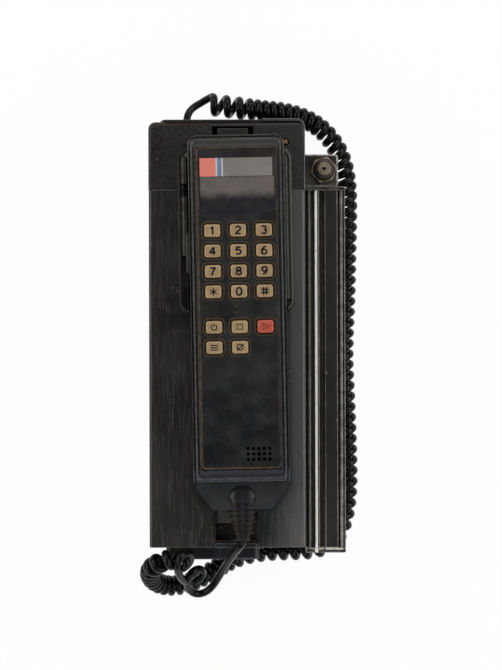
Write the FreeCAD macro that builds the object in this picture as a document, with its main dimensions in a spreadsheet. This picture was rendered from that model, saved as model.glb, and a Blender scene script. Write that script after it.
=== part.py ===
"""Transportable telephone: a flat transceiver case with a cradled handset and a curly cord.

The case lies on its back.  Millimetres, +X to the heat-sink side, +Y to the antenna end and
+Z out of the front.  The origin is under the middle of the case, on the surface it rests on.
"""
import FreeCAD, Part
import Sketcher
import math
import os
from types import SimpleNamespace

from FreeCAD import Placement, Rotation, Vector

# Driving dimensions, in millimetres and degrees.  Each one is a cell of the sheet.
SIZES = {
    # Case
    "overall_width": 116.3,
    "overall_length": 261.4,
    "foot_height": 2.0,
    "foot_radius": 6.0,
    "foot_inset": 13.0,
    "front_depth": 32.0,
    "case_wall": 2.4,
    "case_edge_radius": 1.9,
    "cap_length": 39.75,
    "cap_corner_radius": 4.2,
    "top_plate_thickness": 1.3,
    "top_plate_height": 26.0,
    "top_plate_inset": 8.0,
    "top_plate_margin": 0.7,
    "ledge_depth": 2.0,
    "ledge_width": 1.2,
    "fit_clearance": 0.3,
    # Base bumper
    "bumper_depth": 9.1,
    "bumper_width": 55.8,
    "bumper_offset": 8.95,
    "bumper_level": 20.0,
    "bumper_height": 20.0,
    "bumper_edge_radius": 3.0,
    # Heat-sink rail
    "rail_width": 23.9,
    "rail_level": 14.5,
    "rail_height": 35.5,
    "rail_overrun": 4.1,
    "rail_plate_thickness": 2.1,
    "rail_plate_proud": 0.8,
    "shadow_groove_width": 1.5,
    "shadow_groove_depth": 6.0,
    "inner_groove_offset": 3.25,
    "inner_groove_width": 2.3,
    "middle_groove_offset": 8.6,
    "middle_groove_width": 3.2,
    "outer_groove_inset": 5.5,
    "outer_groove_width": 2.0,
    "edge_groove_inset": 2.0,
    "edge_groove_width": 1.05,
    "deep_groove_depth": 3.4,
    "edge_groove_depth": 3.0,
    "rail_foot": 2.8,
    # Antenna bracket and jack
    "bracket_width": 19.85,
    "bracket_length": 19.3,
    "bracket_thickness": 2.0,
    "bracket_flange_depth": 14.0,
    "jack_offset_x": 11.35,
    "jack_offset_y": 10.45,
    "jack_radius": 5.55,
    "jack_bore_radius": 4.15,
    "jack_rise": 10.5,
    "jack_tail": 8.0,
    "jack_floor": 2.0,
    "jack_tail_radius": 5.8,
    "jack_neck_radius": 5.2,
    "jack_neck_length": 0.3,
    "nut_flats": 14.2,
    "nut_height": 2.6,
    "insulator_radius": 2.35,
    "insulator_rise": 8.5,
    "contact_radius": 0.95,
    "contact_bore_radius": 0.6,
    "contact_bore_depth": 5.0,
    "thread_clearance": 0.06,
    # Release tab and cap screw
    "tab_width": 18.0,
    "tab_length": 9.0,
    "tab_offset": 3.55,
    "tab_setback": 3.6,
    "tab_side_gap": 3.3,
    "tab_end_gap": 1.2,
    "tab_root_gap": 0.5,
    "screw_head_radius": 2.6,
    "screw_head_height": 0.8,
    "screw_shank_radius": 1.4,
    "screw_length": 8.0,
    "screw_offset_x": 11.55,
    "screw_offset_y": 11.7,
    # Cradle
    "cradle_yaw": 0.92,
    "cradle_inset": 6.75,
    "tub_margin": 5.3,
    "tub_shift": 1.0,
    "tub_gap_top": 4.5,
    "tub_gap_low": 4.1,
    "tub_corner_radius": 7.0,
    "tub_wall": 1.3,
    "tub_rise": 15.0,
    "tub_floor_gap": 0.5,
    "tub_floor": 2.0,
    "tub_flange_width": 2.4,
    "tub_flange_thickness": 2.2,
    "saddle_clearance": 0.9,
    "saddle_gap": 0.5,
    "pad_gap": 0.7,
    "pad_top_drop": 1.6,
    "left_pad_thickness": 3.0,
    "left_pad_setback": 28.9,
    "pad_end_gap": 0.1,
    "pad_notch_setback": 28.1,
    "pad_notch_length": 7.6,
    "pad_notch_depth": 6.0,
    "right_pad_thickness": 2.4,
    "rest_gap": 0.3,
    "rest_pad_length": 7.0,
    "rest_pad_width": 12.0,
    "rest_pad_spacing": 32.0,
    "rest_pad_setback": 7.0,
    # Channel below the handset
    "channel_width": 26.2,
    "channel_length": 22.4,
    "channel_shift": 2.5,
    "channel_sink": 10.0,
    "channel_floor": 2.0,
    "channel_wall": 1.2,
    "channel_block_length": 7.9,
    "channel_block_drop": 2.0,
    "channel_lip_length": 4.1,
    "channel_lip_drop": 0.5,
    "channel_clearance": 0.1,
    # Handset
    "handset_width": 55.8,
    "handset_setback": 9.7,
    "frame_length": 200.7,
    "frame_corner_radius": 5.6,
    "frame_seat": 0.6,
    "rim_height": 7.4,
    "frame_height": 10.4,
    "frame_inset": 2.9,
    "frame_wall": 2.0,
    "frame_plate": 1.6,
    "face_side_margin": 4.95,
    "face_margin": 7.2,
    "face_foot_margin": 7.6,
    "face_corner_radius": 1.7,
    "face_thickness": 1.8,
    "face_proud": 0.2,
    "label_width": 41.9,
    "label_length": 10.6,
    "label_setback": 24.2,
    "label_thickness": 0.4,
    "window_width": 43.2,
    "window_length": 21.2,
    "window_setback": 45.4,
    "window_ledge": 2.0,
    "lens_thickness": 1.4,
    "module_gap": 0.25,
    "shell_inset": 1.5,
    "shell_top_inset": 1.7,
    "shell_depth": 13.3,
    "shell_wall": 1.8,
    "shell_overlap": 13.2,
    "shell_end_width": 34.0,
    "shell_taper_length": 12.0,
    "bulge_inset": 1.4,
    "bulge_setback": 11.2,
    "bulge_length": 87.5,
    "bulge_depth": 13.8,
    "bulge_corner_radius": 5.0,
    "handset_screw_spacing": 36.0,
    "screw_low_setback": 21.0,
    "screw_high_gap": 9.0,
    # Keys
    "key_pitch_x": 14.85,
    "key_pitch_y": 11.75,
    "key_block_step": 20.45,
    "key_setback": 55.5,
    "key_shift": 0.5,
    "key_width": 9.5,
    "key_length": 7.5,
    "key_corner_radius": 1.3,
    "key_proud": 1.9,
    "key_travel": 1.2,
    "key_flange": 0.7,
    "key_flange_thickness": 0.8,
    "key_stem_size": 3.6,
    "mat_thickness": 0.5,
    "mat_gap": 0.3,
    # Inside the handset
    "board_thickness": 1.6,
    "board_inset": 2.0,
    "earpiece_radius": 11.0,
    "earpiece_height": 6.0,
    "earpiece_setback": 22.7,
    "microphone_radius": 4.8,
    "microphone_gap": 0.2,
    "microphone_x": 10.2,
    "microphone_setback": 16.1,
    "hole_radius": 0.64,
    "hole_pitch": 3.1,
    "rocker_length": 24.4,
    "rocker_height": 4.0,
    "rocker_proud": 2.0,
    "rocker_depth": 2.4,
    "rocker_setback": 67.8,
    "rocker_rise": 1.6,
    "rocker_gap": 0.6,
    # Cord ends
    "boot_axis_rise": 9.5,
    "boot_root_radius": 8.4,
    "boot_tip_radius": 4.1,
    "boot_dome_length": 9.2,
    "boot_length": 31.8,
    "boot_setback": 3.5,
    "boot_slot_clearance": 0.3,
    "cord_radius": 2.05,
    "coil_radius": 6.3,
    "grommet_radius": 4.4,
    "grommet_flange_radius": 6.0,
    "grommet_offset": 21.05,
    "grommet_level": 14.0,
    # Inside the case
    "cell_radius": 9.4,
    "cell_length": 57.0,
    "cell_gap": 1.0,
    "cell_headroom": 0.8,
    "cell_block_inset": 9.6,
    "circuit_thickness": 1.6,
    "shield_width": 58.0,
    "shield_length": 84.0,
    "shield_height": 15.0,
    "shield_wall": 0.8,
    "shield_setback": 24.4,
    "amplifier_width": 13.0,
    "amplifier_length": 70.0,
    "amplifier_height": 18.0,
    "amplifier_inset": 26.6,
    "socket_width": 14.0,
    "socket_depth": 12.0,
    "socket_height": 15.0,
    "socket_barrel_radius": 5.0,
    "socket_bore_radius": 2.8,
    "socket_bore_depth": 9.5,
    "socket_offset": 12.0,
}

# The cord's route, chosen by hand: the lead out of the case, the coil and the lead to the boot.
CASE_LEAD = [(-37.1, 130.7, 14.0), (-34.4, 139.8, 13.0), (-29.4, 146.0, 11.0), (-22.2, 149.6, 8.2)]
COIL = [
    (-21.5, 146.2, 6.8), (-11.7, 144.6, 6.6), (0.7, 142.8, 6.5), (13.0, 142.0, 6.5),
    (25.3, 140.6, 6.5), (35.8, 137.2, 6.5), (45.0, 131.6, 6.5), (52.7, 123.3, 6.5),
    (58.2, 112.8, 6.5), (61.1, 99.8, 6.5), (61.8, 83.2, 6.5), (61.1, 56.1, 6.5),
    (60.4, 25.2, 6.5), (58.7, -6.8, 6.5), (60.1, -36.4, 6.5), (61.1, -64.2, 6.5),
    (61.5, -85.8, 6.5), (60.3, -102.4, 6.5), (57.6, -114.1, 6.5), (52.6, -122.9, 6.5),
    (43.6, -127.8, 6.5), (29.8, -129.0, 6.5), (13.4, -129.1, 6.5), (-0.8, -131.1, 6.5),
    (-12.5, -135.5, 6.5), (-23.0, -142.2, 6.5), (-34.1, -148.1, 6.5), (-44.6, -150.8, 6.7),
    (-52.6, -149.7, 11.0), (-57.6, -146.0, 18.8), (-59.4, -141.3, 28.0), (-58.6, -137.0, 37.6),
    (-55.8, -133.4, 46.4), (-51.2, -130.4, 52.8), (-45.2, -128.6, 55.8), (-39.4, -129.8, 54.8),
    (-35.3, -133.2, 49.8), (-33.2, -137.6, 42.8), (-32.3, -141.8, 35.2), (-32.2, -145.6, 27.6),
]
BOOT_LEAD = [
    (-32.2, -145.6, 27.6), (-32.3, -149.2, 21.6), (-30.8, -152.6, 17.4), (-27.4, -154.3, 15.4),
    (-23.8, -152.6, 16.8), (-21.0, -148.2, 21.4), (-18.2, -141.4, 30.4), (-15.4, -134.2, 41.4),
    (-12.2, -127.6, 52.8), (-8.0, -122.6, 62.4),
]
LEAD_INTO_BOOT = 4.6
BOOT_GAP = 0.05

AXIS_PLANES = {"top": "XY_Plane", "front": "XZ_Plane", "side": "YZ_Plane"}
KEY_NAMES = [
    "key_1", "key_2", "key_3", "key_4", "key_5", "key_6", "key_7", "key_8", "key_9",
    "key_star", "key_0", "key_hash", "key_power", "key_end", "key_send", "key_function", "key_mute",
]
KEY_COLUMNS = 3
UPPER_KEY_ROWS = 4
MICROPHONE_COLUMNS = 5
MICROPHONE_ROWS = 3
CELL_ROWS = 2

# The share of a run that each of the route's arcs takes, and how near counts as the same level.
ARC_SHARE = 0.45
SAME_LEVEL = 1e-3
SMALL = 1e-6


class Size:
    """A number together with the sheet expression that it comes from."""

    def __init__(self, value, text):
        self.value = value
        self.text = text

    @staticmethod
    def of(other):
        return other if isinstance(other, Size) else Size(float(other), f"({other})")

    def join(self, other, sign, value):
        return Size(value, f"({self.text} {sign} {Size.of(other).text})")

    def __add__(self, other):
        return self.join(other, "+", self.value + Size.of(other).value)

    def __sub__(self, other):
        return self.join(other, "-", self.value - Size.of(other).value)

    def __mul__(self, other):
        return self.join(other, "*", self.value * Size.of(other).value)

    def __truediv__(self, other):
        return self.join(other, "/", self.value / Size.of(other).value)

    def __neg__(self):
        return Size(-self.value, f"(0 - {self.text})")


def make_sheet(document):
    """Write each driving dimension into a cell and return the sizes by name."""
    sheet = document.addObject("Spreadsheet::Sheet", "Sizes")
    for row, (alias, value) in enumerate(SIZES.items(), start=1):
        sheet.set(f"A{row}", alias)
        sheet.set(f"B{row}", str(value))
        sheet.setAlias(f"B{row}", alias)
    document.recompute()
    return SimpleNamespace(**{alias: Size(value, f"Sizes.{alias}") for alias, value in SIZES.items()})


os.makedirs("parts", exist_ok=True)
document = FreeCAD.newDocument("transportable_telephone")
s = make_sheet(document)
pieces = []

# Levels and edges that several pieces share.
case_left = -s.overall_width / 2
rail_right = s.overall_width / 2
cover_width = s.overall_width - s.rail_width
cover_right = case_left + cover_width
cover_middle = case_left + cover_width / 2
plate_end = s.overall_length / 2
case_top = plate_end - s.top_plate_thickness
case_bottom = s.bumper_depth - s.overall_length / 2
case_length = case_top - case_bottom
seam = case_top - s.cap_length
rear_depth = s.case_wall + s.cell_radius * 2 + s.cell_headroom + s.ledge_depth
rear_top = s.foot_height + rear_depth
panel_level = rear_top + s.front_depth
panel_underside = panel_level - s.case_wall
rail_top = s.rail_level + s.rail_height
ledge_level = rear_top - s.ledge_depth
circuit_top = ledge_level + s.circuit_thickness

tub_rim = panel_level + s.tub_rise
frame_level = tub_rim + s.frame_seat
rim_level = frame_level + s.rim_height
frame_top = frame_level + s.frame_height
handset_top = case_top - s.handset_setback
frame_end = handset_top - s.frame_length
face_top_edge = handset_top - s.face_margin
face_width = s.handset_width - s.face_side_margin * 2
face_length = s.frame_length - s.face_margin - s.face_foot_margin
face_level = frame_top + s.face_proud
face_seat = face_level - s.face_thickness
cavity_top = face_seat - s.frame_plate
shell_level = frame_level - s.shell_depth
shell_width = s.handset_width - s.shell_inset * 2
bulge_level = shell_level - s.bulge_depth
bulge_end = handset_top - s.bulge_setback
bulge_start = bulge_end - s.bulge_length
boot_axis = panel_level + s.boot_axis_rise
boot_root_y = frame_end - s.boot_setback
shell_end_y = boot_root_y - s.shell_overlap
label_y = handset_top - s.label_setback + s.label_length / 2
window_y = handset_top - s.window_setback + s.window_length / 2
rocker_y = handset_top - s.rocker_setback
microphone_y = frame_end + s.microphone_setback
key_first_y = handset_top - s.key_setback
key_middle = Size.of(0) + s.key_shift
flange_level = cavity_top + s.fit_clearance - s.key_flange_thickness
stem_level = flange_level - s.key_travel
mat_top = stem_level - s.key_travel - s.mat_gap
board_top = mat_top - s.mat_thickness
board_level = board_top - s.board_thickness

tub_floor_top = bulge_level - s.tub_floor_gap
tub_level = tub_floor_top - s.tub_floor
tub_sink = panel_level - tub_level
tub_start = bulge_start - s.tub_gap_low
tub_end = bulge_end + s.tub_gap_top
tub_length = tub_end - tub_start
tub_middle_y = (tub_start + tub_end) / 2
tub_width = s.handset_width + s.tub_margin * 2
tub_left = -s.tub_shift - tub_width / 2
tub_right = tub_width / 2 - s.tub_shift
cradle_x = cover_right - s.cradle_inset - tub_right
channel_x = cradle_x - s.channel_shift


def bind(item, path, size):
    """Tie one property of a document object to its sheet expression."""
    item.setExpression(path, Size.of(size).text)


def keep(item, label):
    """Name a finished piece and put it on the list of pieces to write."""
    item.Label = label
    pieces.append(item)
    return item


def seat_in_cradle(item):
    """Place a piece that was drawn about the handset's own axis."""
    turn = Rotation(Vector(0, 0, 1), s.cradle_yaw.value)
    item.Placement = Placement(Vector(cradle_x.value, 0, 0), turn)
    bind(item, "Placement.Base.x", cradle_x)
    bind(item, "Placement.Rotation.Angle", s.cradle_yaw)
    return item


def new_body(label):
    return keep(document.addObject("PartDesign::Body", f"{label}_body"), label)


def new_sketch(body, plane, x, y, level):
    """Attach a sketch to one of the body's own planes, moved to x, y and level."""
    sketch = body.newObject("Sketcher::SketchObject", f"{body.Name}_sketch")
    role = AXIS_PLANES[plane]
    support = next(item for item in body.Origin.OriginFeatures if item.Role == role)
    sketch.AttachmentSupport = [(support, "")]
    sketch.MapMode = "FlatFace"
    for axis, amount in zip("xyz", (x, y, level)):
        bind(sketch, f"AttachmentOffset.Base.{axis}", amount)
    return sketch


def name_length(sketch, kind, name, geometry, size):
    """Add one named dimension to a sketch and bind it to the sheet."""
    index = sketch.addConstraint(Sketcher.Constraint(kind, *geometry, size.value))
    sketch.renameConstraint(index, name)
    bind(sketch, f"Constraints.{name}", size)


def rectangle(body, x, y, level, width, length, plane="top"):
    """Sketch a rectangle of width by length, centred on x and y."""
    sketch = new_sketch(body, plane, x, y, level)
    half_x = width.value / 2
    half_y = length.value / 2
    corners = [(-half_x, -half_y), (half_x, -half_y), (half_x, half_y), (-half_x, half_y)]
    for index in range(4):
        start = Vector(*corners[index], 0)
        end = Vector(*corners[(index + 1) % 4], 0)
        sketch.addGeometry(Part.LineSegment(start, end), False)
    for index in range(4):
        sketch.addConstraint(Sketcher.Constraint("Coincident", index, 2, (index + 1) % 4, 1))
    for index, direction in enumerate(("Horizontal", "Vertical", "Horizontal", "Vertical")):
        sketch.addConstraint(Sketcher.Constraint(direction, index))
    sketch.addConstraint(Sketcher.Constraint("Symmetric", 0, 1, 2, 1, -1, 1))
    name_length(sketch, "DistanceX", "wide", (0, 1, 0, 2), width)
    name_length(sketch, "DistanceY", "long", (1, 1, 1, 2), length)
    return sketch


def rounded_rectangle(body, x, y, level, width, length, radius, plane="top"):
    """Sketch a rectangle with four equal round corners, centred on x and y."""
    sketch = new_sketch(body, plane, x, y, level)
    half_x = width.value / 2
    half_y = length.value / 2
    reach = radius.value
    centres = [(half_x - reach, reach - half_y), (half_x - reach, half_y - reach),
               (reach - half_x, half_y - reach), (reach - half_x, reach - half_y)]
    for index, (centre_x, centre_y) in enumerate(centres):
        start_angle = (index - 1) * math.pi / 2
        circle = Part.Circle(Vector(centre_x, centre_y, 0), Vector(0, 0, 1), reach)
        sketch.addGeometry(Part.ArcOfCircle(circle, start_angle, start_angle + math.pi / 2), False)
    ends = [((half_x, reach - half_y), (half_x, half_y - reach)),
            ((half_x - reach, half_y), (reach - half_x, half_y)),
            ((-half_x, half_y - reach), (-half_x, reach - half_y)),
            ((reach - half_x, -half_y), (half_x - reach, -half_y))]
    for start, end in ends:
        sketch.addGeometry(Part.LineSegment(Vector(*start, 0), Vector(*end, 0)), False)
    for index in range(4):
        line = index + 4
        sketch.addConstraint(Sketcher.Constraint("Tangent", index, 2, line, 1))
        sketch.addConstraint(Sketcher.Constraint("Tangent", line, 2, (index + 1) % 4, 1))
    for line, direction in zip(range(4, 8), ("Vertical", "Horizontal", "Vertical", "Horizontal")):
        sketch.addConstraint(Sketcher.Constraint(direction, line))
    for index in range(1, 4):
        sketch.addConstraint(Sketcher.Constraint("Equal", 0, index))
    sketch.addConstraint(Sketcher.Constraint("Symmetric", 4, 1, 6, 1, -1, 1))
    name_length(sketch, "Radius", "corner", (0,), radius)
    name_length(sketch, "DistanceX", "wide", (6, 1, 4, 1), width)
    name_length(sketch, "DistanceY", "long", (7, 1, 5, 1), length)
    return sketch


def polygon(body, x, y, level, points, plane="top"):
    """Sketch a closed outline whose corners lie at or above x and y."""
    sketch = new_sketch(body, plane, x, y, level)
    corners = [(Size.of(across), Size.of(along)) for across, along in points]
    count = len(corners)
    for index, (across, along) in enumerate(corners):
        next_across, next_along = corners[(index + 1) % count]
        start = Vector(across.value, along.value, 0)
        end = Vector(next_across.value, next_along.value, 0)
        sketch.addGeometry(Part.LineSegment(start, end), False)
    for index in range(count):
        sketch.addConstraint(Sketcher.Constraint("Coincident", index, 2, (index + 1) % count, 1))
    for index, corner in enumerate(corners):
        for kind, size, axis in zip(("DistanceX", "DistanceY"), corner, (-2, -1)):
            if size.value < SMALL:
                sketch.addConstraint(Sketcher.Constraint("PointOnObject", index, 1, axis))
            else:
                name_length(sketch, kind, f"{kind}{index}", (-1, 1, index, 1), size)
    return sketch


def circle(body, x, y, level, radius, plane="top"):
    sketch = new_sketch(body, plane, x, y, level)
    sketch.addGeometry(Part.Circle(Vector(0, 0, 0), Vector(0, 0, 1), radius.value), False)
    sketch.addConstraint(Sketcher.Constraint("Coincident", 0, 3, -1, 1))
    name_length(sketch, "Radius", "round", (0,), radius)
    return sketch


def extrude(body, sketch, kind, length):
    feature = body.newObject(f"PartDesign::{kind}", f"{body.Name}_{kind.lower()}")
    feature.Profile = sketch
    bind(feature, "Length", length)
    sketch.Visibility = False
    return feature


def pad(body, sketch, height):
    return extrude(body, sketch, "Pad", height)


def pocket(body, sketch, depth):
    return extrude(body, sketch, "Pocket", depth)


def fillet(body, radius, chosen):
    """Round the edges of the body's last feature for which chosen(edge) is true."""
    document.recompute()
    base = body.Tip
    names = [f"Edge{index}" for index, edge in enumerate(base.Shape.Edges, start=1) if chosen(edge)]
    feature = body.newObject("PartDesign::Fillet", f"{body.Name}_fillet")
    feature.Base = (base, names)
    bind(feature, "Radius", radius)
    return feature


def lies_at(edge, axis, size):
    """Say whether the whole edge lies at one level of an axis."""
    low = getattr(edge.BoundBox, f"{axis}Min")
    high = getattr(edge.BoundBox, f"{axis}Max")
    return abs(low - size.value) < SAME_LEVEL and abs(high - size.value) < SAME_LEVEL


def box(name, x, y, z, width, length, height):
    """Make a box primitive that is centred on x and y and stands on z."""
    item = document.addObject("Part::Box", name)
    width, length = Size.of(width), Size.of(length)
    for property_name, size in zip(("Length", "Width", "Height"), (width, length, height)):
        bind(item, property_name, size)
    for axis, size in zip("xyz", (x - width / 2, y - length / 2, z)):
        bind(item, f"Placement.Base.{axis}", size)
    return item


def cylinder(name, x, y, z, radius, height, along=None):
    """Make a cylinder primitive that starts at x, y, z and runs along +Z or another axis."""
    item = document.addObject("Part::Cylinder", name)
    item.Placement = Placement(Vector(), Rotation(Vector(0, 0, 1), Vector(*(along or (0, 0, 1)))))
    bind(item, "Radius", radius)
    bind(item, "Height", height)
    for axis, size in zip("xyz", (x, y, z)):
        bind(item, f"Placement.Base.{axis}", size)
    return item


def fuse(name, shapes):
    item = document.addObject("Part::MultiFuse", name)
    item.Shapes = shapes
    return item


def group(name, shapes):
    """Hold separate solids in one object."""
    item = document.addObject("Part::Compound", name)
    item.Links = shapes
    return item


def cut(name, base, tool):
    item = document.addObject("Part::Cut", name)
    item.Base = base
    item.Tool = tool
    return item


def key_places():
    """Work out each key's middle, in the order of the key names."""
    places = []
    for index in range(len(KEY_NAMES)):
        row, column = divmod(index, KEY_COLUMNS)
        drop = s.key_pitch_y * min(row, UPPER_KEY_ROWS - 1)
        if row >= UPPER_KEY_ROWS:
            drop = drop + s.key_block_step + s.key_pitch_y * (row - UPPER_KEY_ROWS)
        across = s.key_pitch_x * (column - (KEY_COLUMNS - 1) / 2)
        places.append((key_middle + across, key_first_y - drop))
    return places


# ---------------------------------------------------------------- case

def make_rear_shell():
    """Back half of the case: a tray with a ledge for the circuit board."""
    body = new_body("rear_shell")
    middle_y = (case_top + case_bottom) / 2
    floor = s.foot_height + s.case_wall
    inner_width = cover_width - s.case_wall * 2
    inner_length = case_length - s.case_wall * 2
    pad(body, rectangle(body, cover_middle, middle_y, s.foot_height, cover_width, case_length),
        rear_depth)
    pocket(body, rectangle(body, cover_middle, middle_y, rear_top,
                           inner_width - s.ledge_width * 2, inner_length - s.ledge_width * 2),
           rear_top - floor)
    pocket(body, rectangle(body, cover_middle, middle_y, rear_top, inner_width, inner_length),
           s.ledge_depth)
    upright = [case_left, cover_right]
    fillet(body, s.cap_corner_radius, lambda edge: any(lies_at(edge, "X", x) for x in upright)
           and lies_at(edge, "Y", case_top))
    hole = circle(body, case_left + s.grommet_offset, s.grommet_level, -case_top,
                  s.grommet_radius, "front")
    feature = pocket(body, hole, s.case_wall + s.ledge_width)
    feature.Reversed = True
    return body


def make_feet():
    """Four rubber feet under the back of the case."""
    feet = []
    for across in (case_left + s.foot_inset, cover_right - s.foot_inset):
        for along in (case_bottom + s.foot_inset, case_top - s.foot_inset):
            feet.append(cylinder("foot", across, along, Size.of(0), s.foot_radius, s.foot_height))
    return keep(group("feet", feet), "rubber_feet")


def tub_opening(body, level, extra):
    """Sketch the cradle's outline, larger by extra on each side, turned with the cradle."""
    sketch = rounded_rectangle(body, Size.of(0), Size.of(0), level, tub_width + extra * 2,
                               tub_length + extra * 2, s.tub_corner_radius)
    turn = math.radians(s.cradle_yaw.value)
    sketch.AttachmentOffset = Placement(Vector(), Rotation(Vector(0, 0, 1), s.cradle_yaw.value))
    swing_x = Size(math.cos(turn), f"cos({s.cradle_yaw.text} * 1deg)")
    swing_y = Size(math.sin(turn), f"sin({s.cradle_yaw.text} * 1deg)")
    bind(sketch, "AttachmentOffset.Base.x",
         cradle_x - s.tub_shift * swing_x - tub_middle_y * swing_y)
    bind(sketch, "AttachmentOffset.Base.y", tub_middle_y * swing_x - s.tub_shift * swing_y)
    bind(sketch, "AttachmentOffset.Rotation.Angle", s.cradle_yaw)
    return sketch


def make_front_cover():
    """Lower front cover: a shallow lid with openings for the cradle and the channel."""
    body = new_body("front_cover")
    length = seam - case_bottom
    middle_y = (seam + case_bottom) / 2
    pad(body, rectangle(body, cover_middle, middle_y, rear_top, cover_width, length), s.front_depth)
    fillet(body, s.case_edge_radius, lambda edge: lies_at(edge, "Z", panel_level)
           and (lies_at(edge, "X", case_left) or lies_at(edge, "X", cover_right)))
    pocket(body, rectangle(body, cover_middle, middle_y + s.case_wall, panel_underside,
                           cover_width - s.case_wall * 2, length), panel_underside - rear_top)
    pocket(body, tub_opening(body, panel_level, s.fit_clearance), tub_sink)
    cut_width = s.channel_width + s.channel_clearance * 2
    cut_length = s.channel_length + s.channel_clearance
    pocket(body, rectangle(body, channel_x, case_bottom + cut_length / 2, panel_level,
                           cut_width, cut_length), s.channel_sink)
    socket = circle(body, cover_right - s.case_wall - s.socket_offset,
                    circuit_top + s.socket_height / 2, -case_bottom,
                    s.socket_barrel_radius + s.channel_clearance, "front")
    pocket(body, socket, s.case_wall)
    return body


def make_top_cap():
    """Upper front cover with the slot round the release tab."""
    body = new_body("top_cap")
    middle_y = (case_top + seam) / 2
    pad(body, rectangle(body, cover_middle, middle_y, rear_top, cover_width, s.cap_length),
        s.front_depth)
    upright = [case_left, cover_right]
    fillet(body, s.cap_corner_radius, lambda edge: any(lies_at(edge, "X", x) for x in upright)
           and lies_at(edge, "Y", case_top))
    fillet(body, s.case_edge_radius, lambda edge: lies_at(edge, "Z", panel_level)
           and edge.BoundBox.YMax > seam.value + s.case_edge_radius.value)
    pocket(body, rectangle(body, cover_middle, middle_y - s.case_wall, panel_underside,
                           cover_width - s.case_wall * 2, s.cap_length),
           panel_underside - rear_top)
    pocket(body, tub_opening(body, panel_level, s.fit_clearance), tub_sink)
    slot_length = s.tab_length + s.tab_end_gap + s.tab_root_gap
    slot_end = case_top - s.tab_setback + s.tab_end_gap
    pocket(body, rectangle(body, cover_middle + s.tab_offset, slot_end - slot_length / 2,
                           panel_level, s.tab_width + s.tab_side_gap * 2, slot_length),
           s.case_wall)
    pocket(body, circle(body, cover_right - s.screw_offset_x, case_top - s.screw_offset_y,
                        panel_level, s.screw_shank_radius), s.case_wall)
    return body


def make_release_tab():
    """Springy tab that frees the handset when it is pressed."""
    tab_end = case_top - s.tab_setback
    return keep(box("tab", cover_middle + s.tab_offset, tab_end - s.tab_length / 2,
                    panel_underside, s.tab_width, s.tab_length, s.case_wall), "release_tab")


def make_cap_screw():
    """Pan-head screw in the corner of the top cap."""
    x = cover_right - s.screw_offset_x
    y = case_top - s.screw_offset_y
    head = cylinder("screw_head", x, y, panel_level, s.screw_head_radius, s.screw_head_height)
    shank = cylinder("screw_shank", x, y, panel_level - s.screw_length, s.screw_shank_radius,
                     s.screw_length)
    return keep(fuse("screw", [head, shank]), "cap_screw")


def make_top_plate():
    """Thin end plate with one corner cut off, on the antenna end of the case."""
    body = new_body("top_plate")
    width = cover_width - s.top_plate_inset
    low = s.top_plate_inset
    corners = [(0, 0), (width, 0), (width, s.top_plate_height), (low, s.top_plate_height),
               (0, s.top_plate_height - low)]
    outline = polygon(body, cover_right - s.top_plate_margin - width,
                      panel_level - s.case_edge_radius - s.top_plate_height, -plate_end,
                      corners, "front")
    feature = pad(body, outline, s.top_plate_thickness)
    feature.Reversed = False
    return body


def make_base_bumper():
    """Rubber bumper on the lower end, on which the case also stands upright."""
    body = new_body("base_bumper")
    middle_x = case_left + s.bumper_offset + s.bumper_width / 2
    outline = rounded_rectangle(body, middle_x, s.bumper_level + s.bumper_height / 2, -case_bottom,
                                s.bumper_width, s.bumper_height, s.bumper_edge_radius, "front")
    pad(body, outline, s.bumper_depth)
    return body


# ---------------------------------------------------------------- heat-sink side

def make_heatsink_rail():
    """Heat sink along the side of the case, whose grooves stop short of its foot."""
    body = new_body("heatsink_rail")
    rail_end = case_bottom - s.rail_overrun
    length = seam - rail_end
    middle_y = (seam + rail_end) / 2
    pad(body, rectangle(body, cover_right + s.rail_width / 2, middle_y, s.rail_level,
                        s.rail_width, length), s.rail_height)
    grooves = [
        (Size.of(0), s.shadow_groove_width, s.shadow_groove_depth),
        (s.inner_groove_offset, s.inner_groove_width, s.deep_groove_depth),
        (s.middle_groove_offset, s.middle_groove_width, s.deep_groove_depth),
        (s.rail_width - s.outer_groove_inset, s.outer_groove_width, s.deep_groove_depth),
        (s.rail_width - s.edge_groove_inset, s.edge_groove_width, s.edge_groove_depth),
    ]
    groove_length = length - s.rail_foot
    for offset, width, depth in grooves:
        pocket(body, rectangle(body, cover_right + offset + width / 2, middle_y + s.rail_foot / 2,
                               rail_top, width, groove_length), depth)
    return body


def make_rail_end_plate():
    """Cover plate over the upper end of the heat sink."""
    return keep(box("end_plate", cover_right + s.rail_width / 2, seam + s.rail_plate_thickness / 2,
                    s.rail_level, s.rail_width, s.rail_plate_thickness,
                    s.rail_height + s.rail_plate_proud), "rail_end_plate")


bracket_low = seam + s.rail_plate_thickness
jack_x = cover_right + s.jack_offset_x
jack_y = bracket_low + s.jack_offset_y


def make_antenna_bracket():
    """Folded bracket on the side of the case that carries the antenna jack."""
    body = new_body("antenna_bracket")
    pad(body, rectangle(body, cover_right + s.bracket_width / 2, bracket_low + s.bracket_length / 2,
                        rail_top - s.bracket_thickness, s.bracket_width, s.bracket_length),
        s.bracket_thickness)
    pad(body, rectangle(body, cover_right + s.bracket_thickness / 2,
                        bracket_low + s.bracket_length / 2, rail_top - s.bracket_flange_depth,
                        s.bracket_thickness, s.bracket_length), s.bracket_flange_depth)
    pocket(body, circle(body, jack_x, jack_y, rail_top, s.jack_tail_radius + s.thread_clearance),
           s.bracket_thickness)
    return body


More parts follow.
